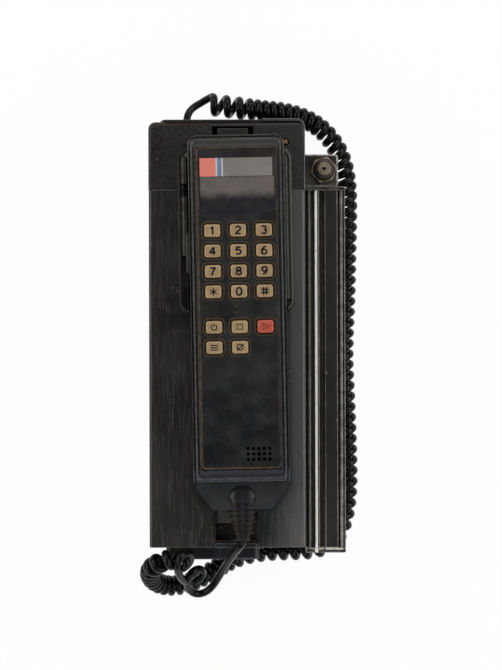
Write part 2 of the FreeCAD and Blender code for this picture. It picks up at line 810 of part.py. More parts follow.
def make_antenna_jack():
    """Coaxial jack: shell, insulator, contact and the nut that holds it."""
    base = rail_top - s.jack_tail
    floor = base + s.jack_floor
    nut_top = rail_top + s.nut_height
    tail = cylinder("jack_tail", jack_x, jack_y, base, s.jack_tail_radius,
                    s.jack_tail + s.nut_height)
    neck = cylinder("jack_neck", jack_x, jack_y, nut_top, s.jack_neck_radius, s.jack_neck_length)
    barrel = cylinder("jack_barrel", jack_x, jack_y, nut_top + s.jack_neck_length, s.jack_radius,
                      s.jack_rise - s.nut_height - s.jack_neck_length)
    outside = fuse("jack_outside", [tail, neck, barrel])
    bore = cylinder("jack_bore", jack_x, jack_y, floor, s.jack_bore_radius,
                    s.jack_tail + s.jack_rise)
    keep(cut("jack_tube", outside, bore), "jack_shell")

    contact_hole = cylinder("contact_hole", jack_x, jack_y, floor, s.contact_radius,
                            s.jack_tail + s.jack_rise)
    core = cylinder("insulator_core", jack_x, jack_y, floor, s.insulator_radius,
                    s.jack_tail + s.insulator_rise - s.jack_floor)
    skirt = cylinder("insulator_skirt", jack_x, jack_y, floor, s.jack_bore_radius, s.jack_tail)
    keep(cut("insulator", fuse("insulator_solid", [core, skirt]), contact_hole), "jack_insulator")

    pin = cylinder("contact_pin", jack_x, jack_y, floor, s.contact_radius,
                   s.jack_tail + s.insulator_rise - s.jack_floor)
    pin_bore = cylinder("contact_bore", jack_x, jack_y,
                        rail_top + s.insulator_rise - s.contact_bore_depth,
                        s.contact_bore_radius, s.contact_bore_depth * 2)
    keep(cut("contact", pin, pin_bore), "jack_contact")

    hexagon = document.addObject("Part::Prism", "nut_hexagon")
    hexagon.Polygon = 6
    bind(hexagon, "Circumradius", s.nut_flats / math.sqrt(3))
    bind(hexagon, "Height", s.nut_height)
    for axis, size in zip("xyz", (jack_x, jack_y, rail_top)):
        bind(hexagon, f"Placement.Base.{axis}", size)
    nut_bore = cylinder("nut_bore", jack_x, jack_y, rail_top,
                        s.jack_tail_radius + s.thread_clearance, s.nut_height)
    keep(cut("nut", hexagon, nut_bore), "jack_nut")


# ---------------------------------------------------------------- cradle

def make_cradle_tub():
    """Raised tub that holds the earpiece end of the handset, flanged under the cover."""
    body = seat_in_cradle(new_body("cradle_tub"))
    x = Size.of(0) - s.tub_shift
    pad(body, rounded_rectangle(body, x, tub_middle_y, tub_level, tub_width, tub_length,
                                s.tub_corner_radius), tub_rim - tub_level)
    pad(body, rounded_rectangle(body, x, tub_middle_y, panel_underside - s.tub_flange_thickness,
                                tub_width + s.tub_flange_width * 2,
                                tub_length + s.tub_flange_width * 2, s.tub_corner_radius),
        s.tub_flange_thickness)
    pocket(body, rounded_rectangle(body, x, tub_middle_y, tub_rim, tub_width - s.tub_wall * 2,
                                   tub_length - s.tub_wall * 2,
                                   s.tub_corner_radius - s.tub_wall), tub_rim - tub_floor_top)
    pocket(body, rectangle(body, Size.of(0), tub_middle_y, tub_rim,
                           s.handset_width + s.saddle_clearance * 2, tub_length),
           tub_rim - shell_level + s.saddle_gap)
    return body


def make_cradle_pads():
    """Two cushions inside the tub, one with a notch, that steady the handset."""
    height = tub_rim - s.pad_top_drop - tub_floor_top
    pads_end = tub_end - s.tub_corner_radius - s.pad_end_gap
    left_start = tub_start + s.left_pad_setback
    left_x = tub_left + s.tub_wall + s.pad_gap + s.left_pad_thickness / 2
    left = box("left_pad", left_x, (left_start + pads_end) / 2, tub_floor_top,
               s.left_pad_thickness, pads_end - left_start, height)
    notch = box("pad_notch", left_x, tub_end - s.pad_notch_setback + s.pad_notch_length / 2,
                tub_floor_top + height - s.pad_notch_depth,
                s.left_pad_thickness * 2, s.pad_notch_length, s.pad_notch_depth * 2)
    keep(seat_in_cradle(cut("notched_pad", left, notch)), "cradle_pad_left")
    right_start = tub_start + s.tub_corner_radius + s.pad_end_gap
    right = box("right_pad_box", tub_right - s.tub_wall - s.pad_gap - s.right_pad_thickness / 2,
                (right_start + pads_end) / 2, tub_floor_top,
                s.right_pad_thickness, pads_end - right_start, height)
    keep(seat_in_cradle(group("right_pad", [right])), "cradle_pad_right")


def make_rest_pads():
    """Two small pads on the cover that carry the mouthpiece end of the handset."""
    height = shell_level - panel_level - s.rest_gap
    pads = [box("rest", s.rest_pad_spacing * side, frame_end + s.rest_pad_setback, panel_level,
                s.rest_pad_width, s.rest_pad_length, height) for side in (-0.5, 0.5)]
    return keep(seat_in_cradle(group("rests", pads)), "handset_rest_pads")


def make_cord_channel():
    """Insert below the handset that gives the cord's boot room: block, recess and lip."""
    body = new_body("cord_channel")
    low = case_bottom
    level = panel_level - s.channel_sink
    floor_top = level + s.channel_floor
    pad(body, rectangle(body, channel_x, low + s.channel_length / 2, level, s.channel_width,
                        s.channel_length), s.channel_sink - s.channel_lip_drop)
    well_length = s.channel_length - s.channel_block_length - s.channel_lip_length
    pocket(body, rectangle(body, channel_x, low + s.channel_lip_length + well_length / 2, panel_level,
                           s.channel_width - s.channel_wall * 2, well_length),
           panel_level - floor_top)
    pocket(body, rectangle(body, channel_x, low + s.channel_length - s.channel_block_length / 2,
                           panel_level, s.channel_width - s.channel_wall * 2,
                           s.channel_block_length), s.channel_block_drop)
    return body


# ---------------------------------------------------------------- handset

def make_handset_frame():
    """Front housing of the handset, with a seat for the face panel and holes for the keys."""
    body = seat_in_cradle(new_body("handset_frame"))
    middle_y = handset_top - s.frame_length / 2
    zero = Size.of(0)
    pad(body, rounded_rectangle(body, zero, middle_y, frame_level, s.handset_width, s.frame_length,
                                s.frame_corner_radius), s.rim_height)
    pad(body, rounded_rectangle(body, zero, middle_y, rim_level, s.handset_width - s.frame_inset * 2,
                                s.frame_length - s.frame_inset * 2,
                                s.frame_corner_radius - s.frame_inset), frame_top - rim_level)
    pocket(body, rounded_rectangle(body, zero, middle_y, cavity_top,
                                   s.handset_width - s.frame_wall * 2,
                                   s.frame_length - s.frame_wall * 2,
                                   s.frame_corner_radius - s.frame_wall), cavity_top - frame_level)
    pocket(body, rounded_rectangle(body, zero, face_top_edge - face_length / 2, frame_top,
                                   face_width + s.channel_clearance * 2,
                                   face_length + s.channel_clearance * 2,
                                   s.face_corner_radius), frame_top - face_seat)
    hole_width = s.key_width + s.key_flange * 2 + s.fit_clearance * 2
    hole_length = s.key_length + s.key_flange * 2 + s.fit_clearance * 2
    for x, y in key_places():
        pocket(body, rectangle(body, x, y, face_seat, hole_width, hole_length), s.frame_plate)
    pocket(body, rectangle(body, key_middle, window_y, face_seat,
                           s.window_width - s.window_ledge * 2,
                           s.window_length - s.window_ledge * 2), s.frame_plate)
    make_microphone_holes(body, face_seat, s.frame_plate)
    slot_height = s.rocker_height + s.rocker_gap * 2
    pocket(body, rectangle(body, -s.handset_width / 2 + s.frame_wall / 2, rocker_y,
                           frame_level + s.rocker_rise + slot_height,
                           s.frame_wall * 2, s.rocker_length + s.rocker_gap * 2), slot_height)
    return body


def make_microphone_holes(body, level, depth):
    for column in range(MICROPHONE_COLUMNS):
        for row in range(MICROPHONE_ROWS):
            x = s.microphone_x + s.hole_pitch * (column - (MICROPHONE_COLUMNS - 1) / 2)
            y = microphone_y + s.hole_pitch * (row - (MICROPHONE_ROWS - 1) / 2)
            pocket(body, circle(body, x, y, level, s.hole_radius), depth)


def make_face_panel():
    """Face panel with openings for the keys, the display and the microphone."""
    body = seat_in_cradle(new_body("face_panel"))
    pad(body, rounded_rectangle(body, Size.of(0), face_top_edge - face_length / 2, face_seat,
                                face_width, face_length, s.face_corner_radius),
        s.face_thickness)
    hole_width = s.key_width + s.fit_clearance * 2
    hole_length = s.key_length + s.fit_clearance * 2
    for x, y in key_places():
        pocket(body, rectangle(body, x, y, face_level, hole_width, hole_length), s.face_thickness)
    pocket(body, rectangle(body, key_middle, window_y, face_level,
                           s.window_width, s.window_length), s.face_thickness)
    pocket(body, rectangle(body, Size.of(0), label_y, face_level,
                           s.label_width, s.label_length), s.label_thickness)
    make_microphone_holes(body, face_level, s.face_thickness)
    return body


def make_display():
    """Label strip, display lens and the display module behind it."""
    label = box("label", Size.of(0), label_y,
                face_level - s.label_thickness, s.label_width, s.label_length, s.label_thickness)
    keep(seat_in_cradle(group("label_strip_group", [label])), "label_strip")
    lens = box("lens", key_middle, window_y, face_seat, s.window_width - s.channel_clearance * 2,
               s.window_length - s.channel_clearance * 2, s.lens_thickness)
    keep(seat_in_cradle(group("lens_group", [lens])), "display_lens")
    opening = s.window_ledge * 2 + s.fit_clearance * 2
    module = box("module", key_middle, window_y, board_top, s.window_width - opening,
                 s.window_length - opening, face_seat - board_top - s.module_gap)
    keep(seat_in_cradle(group("module_group", [module])), "display_module")


def make_keys():
    """Seventeen keys, each a cap on a flange and a stem."""
    for name, (x, y) in zip(KEY_NAMES, key_places()):
        body = seat_in_cradle(new_body(name))
        cap_level = flange_level + s.key_flange_thickness
        pad(body, rectangle(body, x, y, flange_level, s.key_width + s.key_flange * 2,
                            s.key_length + s.key_flange * 2), s.key_flange_thickness)
        pad(body, rounded_rectangle(body, x, y, cap_level, s.key_width, s.key_length,
                                    s.key_corner_radius), face_level + s.key_proud - cap_level)
        pad(body, rectangle(body, x, y, stem_level, s.key_stem_size, s.key_stem_size),
            flange_level - stem_level)


def make_handset_inside():
    """Key mat, circuit board, earpiece and microphone."""
    rows_low = key_first_y - s.key_pitch_y * 4 - s.key_block_step
    mat_length = key_first_y - rows_low + s.key_pitch_y
    mat_width = s.key_pitch_x * 3
    mat = box("mat", key_middle, (key_first_y + rows_low) / 2, board_top, mat_width, mat_length,
              s.mat_thickness)
    keep(seat_in_cradle(group("mat_group", [mat])), "key_mat")
    board_width = s.handset_width - (s.frame_wall + s.board_inset) * 2
    board_length = s.frame_length - (s.frame_wall + s.board_inset) * 2
    board = box("board", Size.of(0), handset_top - s.frame_length / 2, board_level,
                board_width, board_length, s.board_thickness)
    keep(seat_in_cradle(group("board_group", [board])), "handset_board")
    speaker = cylinder("speaker", Size.of(0), handset_top - s.earpiece_setback,
                       board_level - s.earpiece_height,
                       s.earpiece_radius, s.earpiece_height)
    keep(seat_in_cradle(group("speaker_group", [speaker])), "earpiece")
    capsule = cylinder("capsule", s.microphone_x, microphone_y, board_top, s.microphone_radius,
                       cavity_top - board_top - s.microphone_gap)
    keep(seat_in_cradle(group("capsule_group", [capsule])), "microphone")


def make_volume_rocker():
    """Rocker in the left edge of the handset."""
    outer = s.handset_width / 2 + s.rocker_proud
    width = s.rocker_proud + s.rocker_depth
    rocker = box("rocker", -outer + width / 2, rocker_y,
                 frame_level + s.rocker_rise + s.rocker_gap, width, s.rocker_length,
                 s.rocker_height)
    return keep(seat_in_cradle(group("rocker_group", [rocker])), "volume_rocker")


def handset_screw_places():
    """Work out the middle of each screw in the back of the handset."""
    return [(s.handset_screw_spacing * side, y) for side in (-0.5, 0.5)
            for y in (frame_end + s.screw_low_setback, bulge_start - s.screw_high_gap)]


def make_handset_shell():
    """Back housing of the handset, deeper behind the earpiece and tapered at the cord end."""
    body = seat_in_cradle(new_body("handset_shell"))
    half = shell_width / 2
    taper = (shell_width - s.shell_end_width) / 2
    top = handset_top - s.shell_top_inset - shell_end_y
    corners = [(taper, 0), (shell_width - taper, 0), (shell_width, s.shell_taper_length),
               (shell_width, top), (0, top), (0, s.shell_taper_length)]
    pad(body, polygon(body, -half, shell_end_y, shell_level, corners), s.shell_depth)
    bulge_y = (bulge_start + bulge_end) / 2
    bulge_width = shell_width - s.bulge_inset * 2
    zero = Size.of(0)
    pad(body, rounded_rectangle(body, zero, bulge_y, bulge_level, bulge_width, s.bulge_length,
                                s.bulge_corner_radius), s.bulge_depth)
    cavity_length = s.frame_length - s.shell_top_inset - s.shell_wall * 2
    pocket(body, rectangle(body, zero, handset_top - s.shell_top_inset - s.shell_wall
                           - cavity_length / 2, frame_level, shell_width - s.shell_wall * 2,
                           cavity_length), s.shell_depth - s.shell_wall)
    pocket(body, rounded_rectangle(body, zero, bulge_y, frame_level,
                                   bulge_width - s.shell_wall * 2,
                                   s.bulge_length - s.shell_wall * 2,
                                   s.bulge_corner_radius - s.shell_wall),
           s.shell_depth + s.bulge_depth - s.shell_wall)
    slot = circle(body, zero, boot_axis, -boot_root_y - s.boot_slot_clearance,
                  s.boot_root_radius + s.boot_slot_clearance, "front")
    pocket(body, slot, -shell_end_y).Reversed = True
    for x, y in handset_screw_places():
        pocket(body, circle(body, x, y, frame_level, s.screw_shank_radius), s.shell_depth)
        pocket(body, circle(body, x, y, shell_level + s.screw_head_height,
                            s.screw_head_radius + s.channel_clearance), s.screw_head_height)
    return body


def make_handset_screws():
    """Four screws let into the back of the handset."""
    screws = []
    for x, y in handset_screw_places():
        head = cylinder("head", x, y, shell_level, s.screw_head_radius, s.screw_head_height)
        shank = cylinder("shank", x, y, shell_level, s.screw_shank_radius, s.screw_length)
        screws.append(fuse("handset_screw", [head, shank]))
    return keep(seat_in_cradle(group("screws", screws)), "handset_screws")


# ---------------------------------------------------------------- cord

def make_cord_boot():
    """Strain relief: a dome in the end of the handset and a tapered tail."""
    body = seat_in_cradle(new_body("cord_boot"))
    tail = s.boot_length - s.boot_dome_length
    corners = [(0, 0), (s.boot_tip_radius, 0), (s.boot_root_radius, tail),
               (s.boot_root_radius, s.boot_length - s.boot_root_radius / 2),
               (s.boot_root_radius / 2, s.boot_length), (0, s.boot_length)]
    outline = polygon(body, Size.of(0), boot_root_y - s.boot_length, boot_axis, corners)
    feature = body.newObject("PartDesign::Revolution", "boot_revolution")
    feature.Profile = outline
    feature.ReferenceAxis = (outline, ["V_Axis"])
    feature.Angle = 360.0
    return body


def route_wire(points):
    """Join the points of a route by straight runs and tangent arcs, and print the radii."""
    corners = [Vector(*point) for point in points]
    edges = []
    radii = []
    start = corners[0]
    for before, corner, after in zip(corners, corners[1:], corners[2:]):
        back = (before - corner).normalize()
        ahead = (after - corner).normalize()
        setback = ARC_SHARE * min(before.distanceToPoint(corner), corner.distanceToPoint(after))
        turn = math.pi - back.getAngle(ahead)
        radius = setback / math.tan(turn / 2)
        middle = (back + ahead).normalize()
        rise = radius / math.cos(turn / 2) - radius
        arc_start = corner + back * setback
        arc_end = corner + ahead * setback
        edges.append(Part.LineSegment(start, arc_start).toShape())
        edges.append(Part.Arc(arc_start, corner + middle * rise, arc_end).toShape())
        radii.append(radius)
        start = arc_end
    edges.append(Part.LineSegment(start, corners[-1]).toShape())
    print("radii", " ".join(f"{radius:.0f}" for radius in radii))
    return Part.Wire(edges)


def make_tube(label, points, radius):
    """Sweep a round section along a route and compare its volume with section times length."""
    wire = route_wire(points)
    first = Vector(*points[0])
    heading = Vector(*points[1]) - first
    section = Part.Wire(Part.Circle(first, heading, radius.value).toShape())
    shape = wire.makePipeShell([section], True, False)
    expected = math.pi * radius.value ** 2 * wire.Length
    print(label, "length", round(wire.Length, 1), "volume ratio", round(shape.Volume / expected, 4))
    item = document.addObject("Part::Feature", label)
    item.Shape = shape
    return keep(item, label)


def boot_entry(distance):
    """Work out the point on the boot's axis at a distance outside its tip, in the case's frame."""
    turn = math.radians(s.cradle_yaw.value)
    reach = boot_root_y.value - s.boot_length.value - distance
    return (cradle_x.value - reach * math.sin(turn), reach * math.cos(turn), boot_axis.value)


def make_cord():
    """Grommet, straight lead, coil and the lead up to the boot."""
    x = case_left + s.grommet_offset
    depth = s.case_wall + s.ledge_width + s.top_plate_thickness
    barrel = cylinder("grommet_barrel", x, plate_end, s.grommet_level,
                      s.grommet_radius - s.thread_clearance, depth, (0, -1, 0))
    collar = cylinder("grommet_collar", x, plate_end, s.grommet_level, s.grommet_flange_radius,
                      s.top_plate_thickness, (0, -1, 0))
    keep(fuse("grommet", [barrel, collar]), "cord_grommet")
    make_tube("cord_lead_case", CASE_LEAD, s.cord_radius)
    make_tube("cord_coil", COIL, s.coil_radius)
    route = BOOT_LEAD + [boot_entry(LEAD_INTO_BOOT), boot_entry(BOOT_GAP)]
    make_tube("cord_lead_handset", route, s.cord_radius)


# ---------------------------------------------------------------- inside the case

def make_battery_cells():
    """Rechargeable cells lying side by side in the back of the case."""
    cells = []
    pitch = s.cell_radius * 2 + s.cell_gap
    level = s.foot_height + s.case_wall + s.cell_radius
    room = cover_width - (s.case_wall + s.ledge_width) * 2
    columns = int(room.value // pitch.value)
    for column in range(columns):
        x = cover_middle + pitch * (column - (columns - 1) / 2)
        for row in range(CELL_ROWS):
            y = case_bottom + s.cell_block_inset + (s.cell_length + s.cell_gap) * row
            cells.append(cylinder("cell", x, y, level, s.cell_radius, s.cell_length, (0, 1, 0)))
    return keep(group("cells", cells), "battery_cells")


def make_transceiver():
    """Circuit board on the case's ledge, its shield can and the power amplifier."""
    middle_y = (case_top + case_bottom) / 2
    edge = (s.case_wall + s.fit_clearance) * 2
    keep(box("circuit", cover_middle, middle_y, ledge_level, cover_width - edge,
             case_length - edge, s.circuit_thickness), "transceiver_board")
    shield_y = case_top - s.shield_setback - s.shield_length / 2
    outside = box("can_outside", cover_middle, shield_y, circuit_top, s.shield_width,
                  s.shield_length, s.shield_height)
    inside = box("can_inside", cover_middle, shield_y, circuit_top,
                 s.shield_width - s.shield_wall * 2, s.shield_length - s.shield_wall * 2,
                 s.shield_height - s.shield_wall)
    keep(cut("can", outside, inside), "shield_can")
    keep(box("amplifier", cover_right - s.case_wall - s.amplifier_width / 2,
             case_bottom + s.amplifier_inset + s.amplifier_length / 2, circuit_top,
             s.amplifier_width, s.amplifier_length, s.amplifier_height),
         "power_amplifier")


def make_power_socket():
    """Charging socket behind the lower wall, its barrel flush with the outside."""
    x = cover_right - s.case_wall - s.socket_offset
    inner_face = case_bottom + s.case_wall
    block = box("socket_block", x, inner_face + s.socket_depth / 2, circuit_top, s.socket_width,
                s.socket_depth, s.socket_height)
    axis_level = circuit_top + s.socket_height / 2
    barrel = cylinder("socket_barrel", x, case_bottom, axis_level, s.socket_barrel_radius,
                      s.case_wall, (0, 1, 0))
    bore = cylinder("socket_bore", x, case_bottom, axis_level, s.socket_bore_radius,
                    s.socket_bore_depth, (0, 1, 0))
    keep(cut("socket", fuse("socket_solid", [block, barrel]), bore), "power_socket")


def check_features():
    """Stop if a feature failed, if a pocket cut nothing or if a piece is not sound."""
    for item in document.Objects:
        if "Invalid" in item.State or "Error" in item.State:
            raise RuntimeError(f"{item.Name} did not recompute: {item.State}")
        if item.TypeId == "PartDesign::Pocket":
            removed = item.BaseFeature.Shape.Volume - item.Shape.Volume
            if removed < SMALL:
                raise RuntimeError(f"{item.Name} cuts nothing")
    for item in pieces:
        if item.Shape.isNull() or not item.Shape.isValid():
            raise RuntimeError(f"{item.Label} has no valid shape")


def main():
    make_rear_shell()
    make_feet()
    make_front_cover()
    make_top_cap()
    make_release_tab()
    make_cap_screw()
    make_top_plate()
    make_base_bumper()
    make_heatsink_rail()
    make_rail_end_plate()
    make_antenna_bracket()
    make_antenna_jack()
    make_cradle_tub()
    make_cradle_pads()
    make_rest_pads()
    make_cord_channel()
    make_handset_frame()
    make_face_panel()
    make_display()
    make_keys()
    make_handset_inside()
    make_volume_rocker()
    make_handset_shell()
    make_handset_screws()
    make_cord_boot()
    make_cord()
    make_battery_cells()
    make_transceiver()
    make_power_socket()
    document.recompute()
    check_features()
    for item in pieces:
        item.Shape.exportStep(f"parts/{item.Label}.step")
        bounds = item.Shape.BoundBox
        print(f"{item.Label:20s} solids {len(item.Shape.Solids):2d} "
              f"x {bounds.XMin:7.1f} {bounds.XMax:7.1f} y {bounds.YMin:7.1f} {bounds.YMax:7.1f} "
              f"z {bounds.ZMin:6.1f} {bounds.ZMax:6.1f}")
    print(len(pieces), "pieces")


main()
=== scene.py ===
"""Looks of a transportable telephone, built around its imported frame.

Lengths are millimetres until a mesh is made.  Meshes and the places in a shader are in metres.  +X is
the heat-sink side, +Y the antenna end and +Z the front, which faces up.  A number with no unit in a
finish is a share from 0 to 1.  Colours are given as 0 to 255 in each channel, and a grey as one number.
"""
import logging
import math
from collections.abc import Sequence
from dataclasses import dataclass, field
from enum import Enum
from functools import reduce

import bmesh
import bpy
import numpy as np
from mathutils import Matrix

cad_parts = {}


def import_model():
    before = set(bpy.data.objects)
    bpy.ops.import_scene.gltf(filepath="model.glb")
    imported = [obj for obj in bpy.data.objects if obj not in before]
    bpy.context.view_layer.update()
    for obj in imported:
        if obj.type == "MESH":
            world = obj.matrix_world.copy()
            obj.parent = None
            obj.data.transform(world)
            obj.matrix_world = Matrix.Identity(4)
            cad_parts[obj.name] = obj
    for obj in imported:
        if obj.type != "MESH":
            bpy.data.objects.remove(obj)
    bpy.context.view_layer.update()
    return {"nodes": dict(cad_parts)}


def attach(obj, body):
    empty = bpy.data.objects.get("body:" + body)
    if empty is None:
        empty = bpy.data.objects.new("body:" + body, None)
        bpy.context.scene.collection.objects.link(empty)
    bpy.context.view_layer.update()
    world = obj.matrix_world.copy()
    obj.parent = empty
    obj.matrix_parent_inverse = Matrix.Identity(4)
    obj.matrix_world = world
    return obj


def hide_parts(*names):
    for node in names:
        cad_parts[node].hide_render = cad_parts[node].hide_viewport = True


LOG = logging.getLogger("telephone")
MM = 0.001
FULL_TURN = 2 * math.pi
Colour = int | tuple[int, int, int]
Points = np.ndarray
Corners = Sequence[tuple[float, ...]]
Pair = tuple[float, float]
Moves = tuple[Pair, ...]
Triple = tuple[float, float, float]
Piece = bpy.types.Object
Socket = bpy.types.NodeSocket
EVEN: Moves = ((-60.0, -60.0), (60.0, 60.0))


# ---------------------------------------------------------------- places and shapes

@dataclass(frozen=True)
class Seat:
    """A place for points that are drawn about a sub-assembly's own axis.

    Args:
        shift: how far the axis lies along X, in millimetres.
        yaw: how far the sub-assembly is turned about Z, in degrees.
    """

    shift: float = 0.0
    yaw: float = 0.0

    def place(self, points: Points) -> Points:
        """Turn points about Z by the yaw, then move them along X."""
        turn = math.radians(self.yaw)
        x, y, z = np.asarray(points, float).T
        return np.column_stack([x * math.cos(turn) - y * math.sin(turn) + self.shift,
                                x * math.sin(turn) + y * math.cos(turn), z])


CASE_SEAT = Seat()
CRADLE_SEAT = Seat(-4.7, 0.92)


@dataclass(frozen=True)
class Plan:
    """A rounded rectangle seen from above.

    Args:
        half: half the width.
        low: the lower end along Y.
        high: the upper end along Y.
        radius: the corner radius.
        middle: where the middle lies along X.
        low_moves: pairs of (offset, how far the lower end moves out) for a profile's offsets.
        high_moves: the same for the upper end.
        low_radius: the radius of the two lower corners where it isn't the same.
    """

    half: float
    low: float
    high: float
    radius: float
    middle: float = 0.0
    low_moves: Moves = EVEN
    high_moves: Moves = EVEN
    low_radius: float | None = None

    @classmethod
    def disc(cls, x: float, y: float, radius: float) -> "Plan":
        """Return a round plan about a middle."""
        return cls(radius, y - radius, y + radius, radius, x)

    def outlines(self, offsets: Points, steps: int) -> Points:
        """Work out one outline for each offset.

        A point is its corner's centre plus the corner radius times the direction, with the four
        corners taken counterclockwise from the lower right.

        Args:
            offsets: how far each outline lies outside the plan.
            steps: how many runs each corner's arc has.

        Returns:
            An array of offsets by points by (x, y).
        """
        least_radius, most_round = 0.12, 0.98
        offsets = np.asarray(offsets, float)[:, None]
        half = self.half + offsets
        low = self.low - np.interp(offsets, *zip(*self.low_moves))
        high = self.high + np.interp(offsets, *zip(*self.high_moves))
        most = np.minimum(half, (high - low) / 2) * most_round
        angles = (np.arange(4)[:, None] - 1 + np.linspace(0, 1, steps + 1)) * math.pi / 2
        side = np.repeat([1, 1, -1, -1], steps + 1)
        end = np.repeat([-1, 1, 1, -1], steps + 1)
        low_radius = self.radius if self.low_radius is None else self.low_radius
        radius = np.clip(np.where(end < 0, low_radius, self.radius) + offsets, least_radius, most)
        x = self.middle + side * (half - radius) + radius * np.cos(angles.ravel())
        end_y = np.where(end < 0, low + radius, high - radius)
        return np.stack([x, end_y + radius * np.sin(angles.ravel())], axis=-1)


def fillet_profile(corners: Corners, closed: bool, steps: int = 4,
                   margin: float = 0.35) -> tuple[Points, Points, Points]:
    """Round the corners of a profile and mark which of its points wear and which hold dirt.

    An arc is worked out by turning the line from its centre to its start towards the line to its
    end.  A corner that bulges out wears, and a corner that folds in holds dirt.

    Args:
        corners: (offset, level) or (offset, level, radius), with the solid on the left hand.
        closed: whether the last corner joins the first.
        steps: how many runs each arc has.
        margin: how far beyond an arc its wear or dirt fades out.

    Returns:
        The points as (offset, level), each point's wear and each point's dirt.
    """
    arc_share, least_room = 0.48, 0.02
    spots = np.array([corner[:2] for corner in corners], float)
    radii = [corner[2] if len(corner) > 2 else 0.0 for corner in corners]
    count = len(spots)
    points, worn, dirt = [], [], []
    for index, (spot, radius) in enumerate(zip(spots, radii)):
        if radius <= 0 or (not closed and index in (0, count - 1)):
            points.append(spot)
            worn.append(0.0)
            dirt.append(0.0)
            continue
        back = spots[index - 1] - spot
        ahead = spots[(index + 1) % count] - spot
        shorter = min(np.linalg.norm(back), np.linalg.norm(ahead))
        back, ahead = back / np.linalg.norm(back), ahead / np.linalg.norm(ahead)
        half_angle = math.acos(float(np.clip(back @ ahead, -1, 1))) / 2
        setback = min(radius / math.tan(half_angle), arc_share * shorter)
        radius = setback * math.tan(half_angle)
        bisector = (back + ahead) / np.linalg.norm(back + ahead)
        centre = spot + bisector * radius / math.sin(half_angle)
        first, last = spot + back * setback - centre, spot + ahead * setback - centre
        swing = math.pi - 2 * half_angle
        share = np.linspace(0, 1, steps + 1)[:, None]
        turned = np.sin((1 - share) * swing) * first + np.sin(share * swing) * last
        arc = centre + turned / math.sin(swing)
        mark = np.ones(len(arc))
        room = min(margin, shorter / 2 - setback)
        if room > least_room:
            arc = np.vstack([spot + back * (setback + room), arc, spot + ahead * (setback + room)])
            mark = np.pad(mark, 1)
        bulges = back[0] * ahead[1] - back[1] * ahead[0] < 0
        points.extend(arc)
        worn.extend(mark * bulges)
        dirt.extend(mark * (not bulges))
    return np.array(points), np.array(worn), np.array(dirt)


def grid_faces(rows: int, columns: int, wrap_rows: bool, wrap_columns: bool) -> list[list[int]]:
    """List the faces of a skin of points, and close the two open ends of a tube.

    Args:
        rows: how many rows of points there are.
        columns: how many points a row has.
        wrap_rows: whether the last row joins the first.
        wrap_columns: whether each row is a ring.

    Returns:
        The corners of each face.
    """
    spots = np.arange(rows * columns).reshape(rows, columns)
    ends = []
    if wrap_columns and not wrap_rows:
        ends = [spots[0, ::-1].tolist(), spots[-1].tolist()]
    elif wrap_rows and not wrap_columns:
        ends = [spots[:, 0].tolist(), spots[::-1, -1].tolist()]
    if wrap_rows:
        spots = np.vstack([spots, spots[:1]])
    if wrap_columns:
        spots = np.hstack([spots, spots[:, :1]])
    quads = [spots[:-1, :-1], spots[:-1, 1:], spots[1:, 1:], spots[1:, :-1]]
    return np.stack(quads, axis=-1).reshape(-1, 4).tolist() + ends


